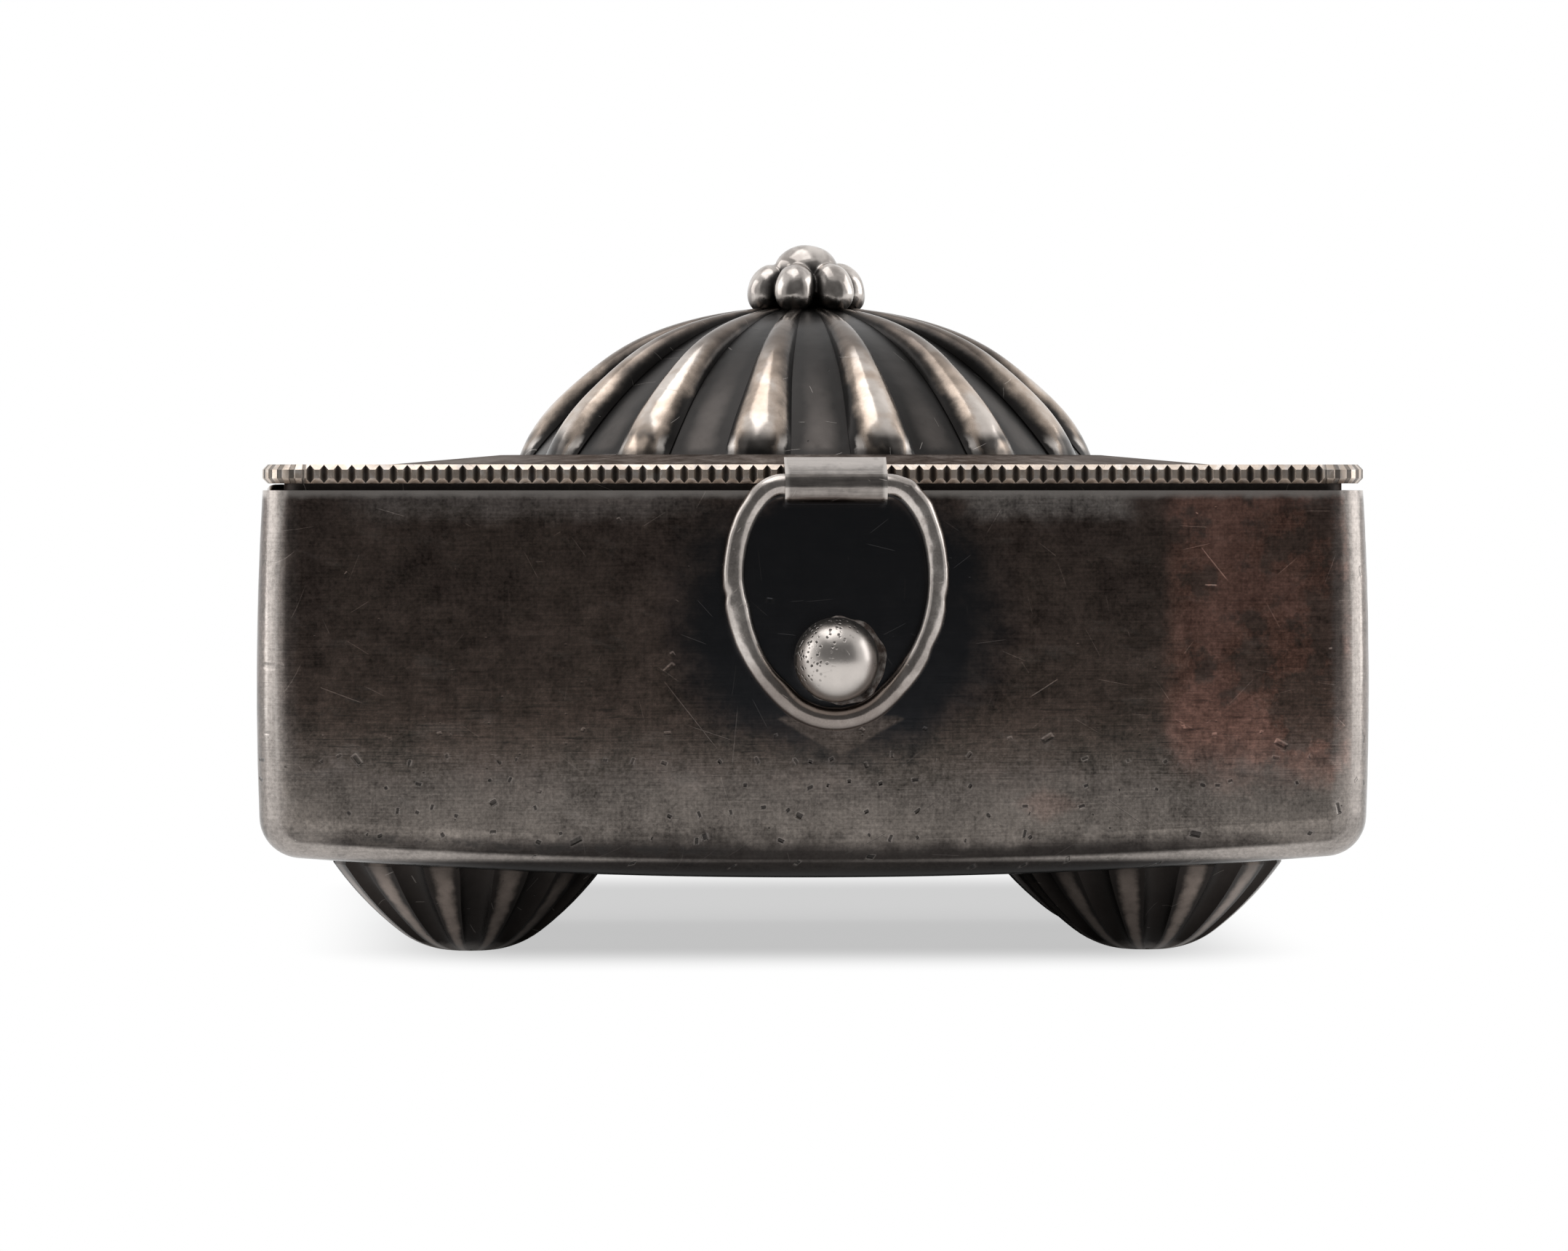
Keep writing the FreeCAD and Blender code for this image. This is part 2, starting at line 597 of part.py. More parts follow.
def build_lid_dome():
    """The hollow dome on the lid, with tapering round ridges."""
    body = place(new_body("lid_dome"), "dims.dome_shift", CENTRE_Y, DOME_SEAT)
    body.setExpression("Placement.Rotation.Angle", "dims.dome_turn * 1 deg")
    revolve(body, dome_profile(body, "dome_outside", "0"))
    *ends, side_radius, top_radius = dome_curves("0")
    foot_point, shoulder_point = (Vector(value(x), value(z), 0) for x, z in ends)
    crown_point = Vector(0, value("dims.dome_height"), 0)
    side_arc = arc_between(foot_point, shoulder_point, value(side_radius), 1)
    top_arc = arc_between(shoulder_point, crown_point, value(top_radius), 1)
    # The lowest section lies flat on the lid, and the others stand square to the curve
    on_lid = (Vector(foot_point.x, 0, 0), Vector(0, 0, 1), 1.0, 0.65)
    stations = [on_lid] + stations_on(
        (side_arc, 0.32, 0.88, 1.0),
        (side_arc, 0.64, 0.72, 1.0),
        (side_arc, 0.96, 0.58, 0.95),
        (top_arc, 0.23, 0.45, 0.68),
        (top_arc, 0.48, 0.31, 0.36),
        (top_arc, 0.72, 0.18, 0.14),
    )
    rib_around(
        body, stations, "dims.dome_ridge_width", "dims.dome_ridge_height", "dims.dome_ridges", raised=True
    )
    revolve(body, dome_profile(body, "dome_inside", "dims.dome_sheet"), "PartDesign::Groove")
    return body


def build_finial(dome):
    """A ring of beads soldered to the crown of the dome, with a larger bead on top."""
    top_radius = dome_curves("0")[-1]
    seat = f"({DOME_SEAT} + dims.dome_height - {top_radius} + sqrt({top_radius}^2 - {BEAD_RING}^2))"
    bead_height = f"({seat} + dims.bead_radius - dims.bead_sink)"
    beads, rounds = [], []
    for number in range(SIDE_BEADS):
        angle = f"({number} * 360 / {SIDE_BEADS})"
        bead = doc.addObject("Part::Sphere", f"bead_round_{number + 1}")
        bind(bead, Radius="dims.bead_radius")
        place(
            bead,
            f"dims.dome_shift + {BEAD_RING} * cos({angle} * 1 deg)",
            f"{CENTRE_Y} + {BEAD_RING} * sin({angle} * 1 deg)",
            bead_height,
        )
        rounds.append(bead)
    doc.recompute()
    for number, bead in enumerate(rounds, start=1):
        beads.append(boolean("Cut", f"finial_side_bead_{number}", bead, dome))
    ring = doc.addObject("Part::Compound", "bead_ring")
    ring.Links = rounds
    top_round = doc.addObject("Part::Sphere", "top_bead_round")
    bind(top_round, Radius="dims.top_bead_radius")
    place(top_round, "dims.dome_shift", CENTRE_Y, f"{bead_height} + dims.top_bead_lift")
    doc.recompute()
    beads.append(boolean("Cut", "finial_top_bead", top_round, ring))
    return beads


# Clasp


def build_clasp_knuckle():
    """A strip folded over the rim and round the ring's wire. Its sketch has +x to the box's front
    in the clasp's own axes, with the pivot at the origin."""
    body = place(new_body("clasp_knuckle"), "dims.clasp_shift", CLASP_Y, CLASP_Z)
    outer = "(dims.ring_wire + dims.running_gap + dims.clasp_sheet)"
    rim_face = "dims.clasp_stand"
    rim_top = "(dims.clasp_drop + dims.rim_height)"
    # The leaf on top ends where the lid starts to rise
    leaf_end = f"({rim_face} + dims.rim_width + dims.lid_border)"
    fold = sketch_on(body, "YZ_Plane", "clasp_fold")
    slope = 35
    outline(
        fold,
        (leaf_end, rim_top),
        (leaf_end, f"({rim_top} + dims.clasp_sheet)"),
        (f"({rim_face} - dims.clasp_sheet / 2)", f"({rim_top} + dims.clasp_sheet)"),
        (f"(-{outer} * cos({slope} deg))", f"({outer} * sin({slope} deg))", outer, 1),
        ("0", f"(-{outer})", outer, 1),
        (f"({outer} * cos({slope} deg))", f"({outer} * sin({slope} deg))"),
        (rim_face, f"({outer} * sin({slope} deg) + dims.clasp_drop)"),
        (rim_face, rim_top),
    )
    pad(body, fold, "dims.clasp_length", midplane=True)
    bore = sketch_on(body, "YZ_Plane", "clasp_bore")
    circle(bore, "0", "0", "(dims.ring_wire + dims.running_gap)")
    hole = body.newObject("PartDesign::Pocket", "clasp_bore_cut")
    hole.Profile = bore
    hole.Type = "ThroughAll"
    hole.Midplane = True
    doc.recompute()
    return body


def build_clasp_ring():
    """A pear-shaped wire ring. It hangs from its straight top stretch, which turns in the knuckle."""
    body = place(new_body("clasp_ring"), "dims.clasp_shift", CLASP_Y, CLASP_Z)
    half_top = "(dims.clasp_length / 2 + dims.running_gap)"
    side = "dims.ring_half_width"
    corner = f"({side} - {half_top})"
    low = "dims.ring_bottom_radius"
    fall = f"(dims.ring_length - {low} - dims.ring_side_start)"
    flank = f"(({side}^2 + {fall}^2 - {low}^2) / (2 * ({side} - {low})))"
    # Where the flank's curve runs into the bottom bend
    meet_x = f"({low} * ({flank} - {side}) / ({flank} - {low}))"
    meet_z = f"(dims.ring_length - {low} + {low} * {fall} / ({flank} - {low}))"
    path = sketch_on(body, "XZ_Plane", "ring_path")
    outline(
        path,
        (f"-{half_top}", "0"),
        (half_top, "0", corner, -1),
        (side, f"-{corner}"),
        (side, "-dims.ring_side_start", flank, -1),
        (meet_x, f"-{meet_z}", low, -1),
        (f"-{meet_x}", f"-{meet_z}", flank, -1),
        (f"-{side}", "-dims.ring_side_start"),
        (f"-{side}", f"-{corner}", corner, -1),
    )
    section = sketch_on(body, "YZ_Plane", "ring_section")
    circle(section, "0", "0", "dims.ring_wire")
    doc.recompute()
    wire = body.newObject("PartDesign::AdditivePipe", "ring_wire")
    wire.Profile = section
    wire.Spine = (path, [f"Edge{n}" for n in range(1, 9)])
    doc.recompute()
    return body


def build_catch_ball(band):
    """A ball soldered to the front wall, for the ring to drop over."""
    ball = doc.addObject("Part::Sphere", "catch_round")
    bind(ball, Radius="dims.ball_radius")
    place(
        ball,
        "dims.clasp_shift",
        f"{CENTRE_Y} - dims.box_depth / 2 - dims.ball_stand",
        f"{CLASP_Z} - dims.ball_drop",
    )
    doc.recompute()
    return boolean("Cut", "catch_ball", ball, band)


# Hinge


def hinge_knuckle(label, middle, length, saddle, bore):
    """A tube with a solder saddle. Its sketch has +x to the box's back and the pin at the origin."""
    body = place(new_body(label), middle, HINGE_Y, HINGE_Z)
    tube = sketch_on(body, "YZ_Plane", f"{label}_tube")
    circle(tube, "0", "0", "dims.hinge_radius")
    pad(body, tube, length, midplane=True)
    foot = sketch_on(body, "YZ_Plane", f"{label}_saddle")
    outline(foot, *saddle)
    pad(body, foot, length, midplane=True)
    hole_sketch = sketch_on(body, "YZ_Plane", f"{label}_bore")
    circle(hole_sketch, "0", "0", bore)
    hole = body.newObject("PartDesign::Pocket", f"{label}_bore_cut")
    hole.Profile = hole_sketch
    hole.Type = "ThroughAll"
    hole.Midplane = True
    doc.recompute()
    return body


def build_hinge(band):
    """Two knuckles on the box, one on the lid, and the pin through them."""
    lean = "(dims.hinge_radius * cos(60 deg))"
    reach = "(dims.hinge_radius * sin(60 deg))"
    box_saddle = (
        ("(-dims.hinge_stand - dims.wall_sheet / 2)", "(-dims.saddle_reach)"),
        ("(-dims.hinge_stand + dims.wall_bulge)", "(-dims.saddle_reach)"),
        (lean, f"(-{reach})"),
        (f"(-{lean})", "(-dims.lid_gap / 2)"),
        ("(-dims.hinge_stand - dims.wall_sheet / 2)", "(-dims.lid_gap / 2)"),
    )
    rim_top = "(dims.lid_gap / 2 + dims.rim_height - dims.rim_chamfer)"
    lid_saddle = (
        ("(-dims.hinge_stand)", "(dims.lid_gap / 2 + dims.rim_chamfer)"),
        (f"(-{lean})", "(dims.lid_gap / 2)"),
        (lean, reach),
        ("(-dims.hinge_stand)", rim_top),
    )
    offset = "(dims.lid_knuckle_length / 2 + dims.knuckle_gap + dims.knuckle_length / 2)"
    knuckles = []
    for side, sign in (("left", "-"), ("right", "")):
        rough = hinge_knuckle(
            f"knuckle_{side}_rough", f"{sign}{offset}", "dims.knuckle_length", box_saddle, "dims.pin_radius"
        )
        knuckles.append(boolean("Cut", f"hinge_knuckle_{side}", rough, band))
    lid_bore = "(dims.pin_radius + dims.running_gap)"
    knuckles.append(hinge_knuckle("hinge_knuckle_lid", "0", "dims.lid_knuckle_length", lid_saddle, lid_bore))
    half_length = f"({offset} + dims.knuckle_length / 2 + dims.pin_head)"
    pin = place(new_body("hinge_pin"), "0", HINGE_Y, HINGE_Z)
    half_section = sketch_on(pin, "YZ_Plane", "pin_section")
    circle(half_section, "0", "0", "dims.pin_radius")
    shank = pad(pin, half_section, f"(2 * {half_length})", midplane=True)
    rounding = pin.newObject("PartDesign::Chamfer", "pin_ends")
    rounding.Base = (shank, edge_names(shank, lambda edge: edge.Closed))
    rounding.setExpression("Size", "dims.pin_radius / 3")
    doc.recompute()
    return knuckles + [pin]


def write_parts(pieces):
    """Checks every object and writes each sub-part's solids to its own file."""
    for item in doc.Objects:
        if {"Invalid", "Error"} & set(item.State):
            raise RuntimeError(f"{item.Label} failed: {item.State}")
    os.makedirs("parts", exist_ok=True)
    for piece in pieces:
        shape = piece.Shape
        if shape.isNull() or not shape.isValid() or not shape.Solids:
            raise RuntimeError(f"{piece.Label} has no valid solid")
        shape.exportStep(os.path.join("parts", f"{piece.Label}.step"))
        print(piece.Label, len(shape.Solids), round(shape.Volume, 3))


def main():
    band, pan = build_box_shell()
    pieces = [band, pan]
    for depth_name, y in (("front", f"-{FOOT_Y}"), ("back", FOOT_Y)):
        for side_name, x in (("left", f"-{FOOT_X}"), ("right", FOOT_X)):
            pieces.append(build_foot(f"foot_{depth_name}_{side_name}", x, y))
    pieces.append(build_catch_ball(band))
    pieces += build_hinge(band)
    dome = build_lid_dome()
    pieces += [build_lid_plate(), build_lid_rim(), build_lid_bezel(), dome]
    pieces += build_finial(dome)
    pieces += [build_clasp_knuckle(), build_clasp_ring()]
    write_parts(pieces)


main()
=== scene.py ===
"""Looks of a small oxidised silver box on fluted feet, with a domed lid and a ring clasp.

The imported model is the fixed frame: metres, +Z up, -Y the front, the table at z = 0.
Sizes in the classes below are millimetres, and every finish works in millimetres too.
"""

from __future__ import annotations

import json
import logging
import math
from dataclasses import dataclass, field
from enum import Enum
from typing import Sequence

import bmesh
import bpy
from mathutils import Matrix, Vector, noise

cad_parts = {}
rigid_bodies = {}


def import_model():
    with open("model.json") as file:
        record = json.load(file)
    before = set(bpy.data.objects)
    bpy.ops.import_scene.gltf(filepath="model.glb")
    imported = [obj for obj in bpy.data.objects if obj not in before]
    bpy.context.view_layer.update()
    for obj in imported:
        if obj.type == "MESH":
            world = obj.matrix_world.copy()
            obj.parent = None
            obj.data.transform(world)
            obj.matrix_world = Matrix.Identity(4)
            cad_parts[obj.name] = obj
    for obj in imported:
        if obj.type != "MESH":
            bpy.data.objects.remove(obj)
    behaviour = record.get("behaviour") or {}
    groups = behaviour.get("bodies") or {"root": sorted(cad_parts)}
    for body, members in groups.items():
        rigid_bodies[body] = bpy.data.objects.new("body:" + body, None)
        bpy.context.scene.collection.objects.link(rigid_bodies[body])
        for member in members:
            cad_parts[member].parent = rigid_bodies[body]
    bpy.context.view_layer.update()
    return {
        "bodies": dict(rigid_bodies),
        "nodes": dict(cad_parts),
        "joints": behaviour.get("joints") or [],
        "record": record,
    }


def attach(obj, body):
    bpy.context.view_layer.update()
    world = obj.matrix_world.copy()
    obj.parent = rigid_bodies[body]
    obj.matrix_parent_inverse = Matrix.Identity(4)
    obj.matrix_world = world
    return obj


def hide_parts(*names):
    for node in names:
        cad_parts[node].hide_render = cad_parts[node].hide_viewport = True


MM = 0.001
CENTRE_Y = 1.1
HALF_WIDTH = 32.0
HALF_DEPTH = 24.0
DOME_X = 0.35
log = logging.getLogger("silver_box")

Colour = tuple[float, float, float]
Place = tuple[float, float, float]
Size = tuple[float, float, float]
Pair = tuple[float, float]


class Body(Enum):
    """The bodies of the frame that a piece can ride on."""

    BOX = "box"
    LID = "lid"
    CLASP = "clasp"


class Value:
    """A shader socket that takes part in Python arithmetic."""

    def __init__(self, paint: Paint, socket: bpy.types.NodeSocket | None) -> None:
        """Keeps the node sheet and the socket."""
        self.paint = paint
        self.socket = socket

    def out(self, name: str) -> Value:
        """Another output of the same node."""
        return Value(self.paint, self.socket.node.outputs[name])

    def maths(self, operation: str, *terms: Value | float) -> Value:
        """A Math node on the terms."""
        return self.paint.node("ShaderNodeMath", {"operation": operation}, dict(enumerate(terms)))

    def __add__(self, other: Value | float) -> Value:
        """Sum."""
        return self.maths("ADD", self, other)

    def __radd__(self, other: float) -> Value:
        """Sum, number first."""
        return self.maths("ADD", other, self)

    def __sub__(self, other: Value | float) -> Value:
        """Difference."""
        return self.maths("SUBTRACT", self, other)

    def __rsub__(self, other: float) -> Value:
        """Difference, number first."""
        return self.maths("SUBTRACT", other, self)

    def __mul__(self, other: Value | float) -> Value:
        """Product."""
        return self.maths("MULTIPLY", self, other)

    def __rmul__(self, other: float) -> Value:
        """Product, number first."""
        return self.maths("MULTIPLY", other, self)

    def __truediv__(self, other: Value | float) -> Value:
        """Quotient."""
        return self.maths("DIVIDE", self, other)

    def __neg__(self) -> Value:
        """The same with the other sign."""
        return self.maths("MULTIPLY", self, -1.0)

    def __abs__(self) -> Value:
        """Size without sign."""
        return self.maths("ABSOLUTE", self)

    def __pow__(self, power: float) -> Value:
        """A power."""
        return self.maths("POWER", self, power)

    def least(self, other: Value | float) -> Value:
        """The smaller of two."""
        return self.maths("MINIMUM", self, other)

    def most(self, other: Value | float) -> Value:
        """The larger of two."""
        return self.maths("MAXIMUM", self, other)

    def cosine(self) -> Value:
        """Cosine of an angle in radians."""
        return self.maths("COSINE", self)

    def sine(self) -> Value:
        """Sine of an angle in radians."""
        return self.maths("SINE", self)

    def sign(self) -> Value:
        """1 above zero and -1 below it."""
        return self.maths("SIGN", self)

    def bearing(self, across: Value) -> Value:
        """The angle of the direction that goes this far up and the other value across."""
        return self.maths("ARCTAN2", self, across)

    def smooth(self, low: float, high: float) -> Value:
        """A soft step from 0 at low to 1 at high, or the other way round where low is higher."""
        return self.paint.node(
            "ShaderNodeMapRange",
            {"interpolation_type": "SMOOTHSTEP"},
            {"Value": self, "From Min": low, "From Max": high},
        )


@dataclass
class Spot:
    """Where a point of a surface lies, in millimetres, and which way the surface faces there."""

    at: Value
    x: Value
    y: Value
    z: Value
    facing_x: Value
    facing_y: Value
    facing_z: Value

    def reach(self, x: float, y: float) -> Value:
        """Distance from the upright axis at a place.

        Args:
            x: of the axis.
            y: of the axis.

        Returns:
            The distance in millimetres.
        """
        from_x = self.x - x
        from_y = self.y - y
        return (from_x * from_x + from_y * from_y) ** 0.5

    def wave(self, x: float, y: float, turn: float, count: int) -> Value:
        """A wave that repeats round the upright axis at a place.

        Args:
            x: of the axis.
            y: of the axis.
            turn: where the first crest is, in degrees.
            count: crests in one round.

        Returns:
            1 on a crest and -1 halfway between two.
        """
        angle = (self.y - y).bearing(self.x - x)
        return ((angle - math.radians(turn)) * float(count)).cosine()


class Paint:
    """The node sheet of a material or of the world."""

    def __init__(self, tree: bpy.types.NodeTree) -> None:
        """Starts with an empty sheet."""
        self.tree = tree
        tree.nodes.clear()

    def node(
        self,
        kind: str,
        settings: dict[str, object] | None = None,
        inputs: dict[int | str, object] | None = None,
        output: int | str = 0,
    ) -> Value:
        """Adds one node.

        Args:
            kind: Blender's name for the node type.
            settings: properties of the node, set first.
            inputs: a value or a link for each socket, by its name or number.
            output: the output that is wanted.

        Returns:
            That output, ready for arithmetic.
        """
        node = self.tree.nodes.new(kind)
        for name, setting in (settings or {}).items():
            setattr(node, name, setting)
        for key, term in (inputs or {}).items():
            if isinstance(term, Value):
                self.tree.links.new(term.socket, node.inputs[key])
            else:
                node.inputs[key].default_value = term
        return Value(self, node.outputs[output] if node.outputs else None)

    def spot(self) -> Spot:
        """The place on the piece, which moves with the piece.

        Returns:
            Position in millimetres and the direction of the surface.
        """
        source = self.node("ShaderNodeTexCoord", output="Object")
        at = self.node("ShaderNodeVectorMath", {"operation": "SCALE"}, {0: source, "Scale": 1 / MM})
        place = self.node("ShaderNodeSeparateXYZ", inputs={0: at})
        facing = self.node("ShaderNodeSeparateXYZ", inputs={0: source.out("Normal")})
        return Spot(at, place, place.out("Y"), place.out("Z"), facing, facing.out("Y"), facing.out("Z"))

    def drawn_out(self, at: Value, size: Sequence[float], turn: Sequence[float] = (0, 0, 0)) -> Value:
        """A position measured along turned axes, each in its own unit.

        Args:
            at: the position.
            size: the unit along each axis, in millimetres.
            turn: degrees about x, y and z.

        Returns:
            The new position.
        """
        return self.node(
            "ShaderNodeMapping",
            {"vector_type": "TEXTURE"},
            {"Vector": at, "Rotation": [math.radians(a) for a in turn], "Scale": list(size)},
        )

    def noise(self, at: Value, scale: float, detail: float = 4.0, rough: float = 0.6) -> Value:
        """Cloudy noise around 0.5.

        Args:
            at: position in millimetres.
            scale: features per millimetre.
            detail: octaves.
            rough: weight of the finer octaves.

        Returns:
            A value from about 0 to 1.
        """
        return self.node(
            "ShaderNodeTexNoise", {}, {"Vector": at, "Scale": scale, "Detail": detail, "Roughness": rough}
        )

    def brushing(self, at: Value, size: Sequence[float]) -> Value:
        """Brush lines around 0.5, as noise drawn out along one axis of the piece."""
        return self.noise(self.drawn_out(at, size), 1.0, 3.0, 0.6)

    def marks(self, spot: Spot, spacing: float, length: float, width: float, share: float) -> Value:
        """Scattered straight marks that point every way, from long scratches to short nicks.

        Args:
            spot: where the surface is.
            spacing: about the distance between marks if every place had one.
            length: half the length of the longest mark.
            width: half the width of a mark.
            share: how many of the places have one, from 0 to 1.

        Returns:
            1 along a mark and 0 away from it.
        """
        cells = self.node("ShaderNodeTexVoronoi", {}, {"Vector": spot.at, "Scale": 1 / spacing}, "Color")
        chance = self.node("ShaderNodeSeparateColor", inputs={0: cells})
        away = self.node(
            "ShaderNodeVectorMath", {"operation": "SUBTRACT"}, {0: spot.at, 1: cells.out("Position")}
        )
        apart = self.node("ShaderNodeSeparateXYZ", inputs={0: away})
        level = apart + apart.out("Y")
        upright = apart.out("Z")
        angle = chance * (2 * math.pi)
        along = level * angle.cosine() + upright * angle.sine()
        across = upright * angle.cosine() - level * angle.sine()
        reach = length * (0.3 + 0.7 * chance.out("Green"))
        there = chance.out("Blue").smooth(1.0 - share, 1.02 - share)
        return abs(across).smooth(width, 0.3 * width) * (abs(along) / reach).smooth(1.0, 0.6) * there

    def pits(self, at: Value, spacing: float, size: float, share: float) -> Value:
        """Scattered round pits.

        Args:
            at: position in millimetres.
            spacing: about the distance between pits if every place had one.
            size: radius of a pit.
            share: how many of the places have one, from 0 to 1.

        Returns:
            1 in the middle of a pit and 0 away from it.
        """
        cells = self.node("ShaderNodeTexVoronoi", {}, {"Vector": at, "Scale": 1 / spacing}, "Distance")
        chance = self.node("ShaderNodeSeparateColor", inputs={0: cells.out("Color")})
        near = cells.smooth(size / spacing, 0.35 * size / spacing)
        return near * chance.smooth(1.0 - share, 1.02 - share)

    def blend(self, share: Value | float, first: Value | Colour, second: Value | Colour) -> Value:
        """A mix of two colours.

        Args:
            share: 0 for the first and 1 for the second.
            first: a colour or a link.
            second: a colour or a link.

        Returns:
            The mixed colour.
        """
        ends = [end if isinstance(end, Value) else (*end, 1.0) for end in (first, second)]
        return self.node(
            "ShaderNodeMix",
            {"data_type": "RGBA", "clamp_factor": True},
            {0: share, 6: ends[0], 7: ends[1]},
            2,
        )

    def shade(self, colour: Value | Colour, by: Value) -> Value:
        """A colour made lighter or darker by a factor."""
        return self.node("ShaderNodeVectorMath", {"operation": "SCALE"}, {0: colour, "Scale": by})

    def shader_mix(self, share: Value, first: Value, second: Value) -> Value:
        """A mix of two shaders, 0 for the first and 1 for the second."""
        return self.node("ShaderNodeMixShader", {}, {0: share, 1: first, 2: second})


@dataclass
class Coat:
    """What a finish gives a surface: colour, roughness and relief in millimetres."""

    colour: Value
    roughness: Value
    relief: Value


@dataclass(frozen=True)
class Finish:
    """A silver finish. The base class holds what all of them share."""

    name: str
    bright: Colour = (0.66, 0.61, 0.57)
    worn: Colour = (0.42, 0.38, 0.352)
    oxide: Colour = (0.122, 0.092, 0.079)
    black: Colour = (0.030, 0.028, 0.027)
    edge_tint: Colour = (1.0, 1.0, 1.0)

    def coat(self, paint: Paint, spot: Spot) -> Coat:
        """The layers of this finish; each kind of finish has its own."""
        raise NotImplementedError

    def material(self) -> bpy.types.Material:
        """Makes the material.

        Returns:
            A new material with this finish.
        """
        material = bpy.data.materials.new(self.name)
        material.use_nodes = True
        paint = Paint(material.node_tree)
        coat = self.coat(paint, paint.spot())
        normal = paint.node("ShaderNodeBump", {}, {"Strength": 1.0, "Distance": MM, "Height": coat.relief})
        metal = paint.node(
            "ShaderNodeBsdfPrincipled",
            {},
            {
                "Base Color": coat.colour,
                "Roughness": coat.roughness,
                "Metallic": 1.0,
                "Normal": normal,
                "Specular Tint": (*self.edge_tint, 1.0),
            },
        )
        paint.node("ShaderNodeOutputMaterial", {}, {"Surface": metal})
        return material


@dataclass(frozen=True)
class Stroke:
    """A straight scratch on the front wall, from one place (x, z) to another."""

    start: Pair
    end: Pair
    width: float

    def mask(self, spot: Spot) -> Value:
        """Marks the scratch.

        Args:
            spot: where the surface is.

        Returns:
            1 along the scratch and 0 away from it.
        """
        run = math.dist(self.start, self.end)
        level = (self.end[0] - self.start[0]) / run
        upright = (self.end[1] - self.start[1]) / run
        from_x = spot.x - self.start[0]
        from_z = spot.z - self.start[1]
        along = abs(from_x * level + from_z * upright - 0.5 * run)
        across = abs(from_z * level - from_x * upright)
        return across.smooth(self.width, 0.3 * self.width) * along.smooth(0.5 * run, 0.3 * run)


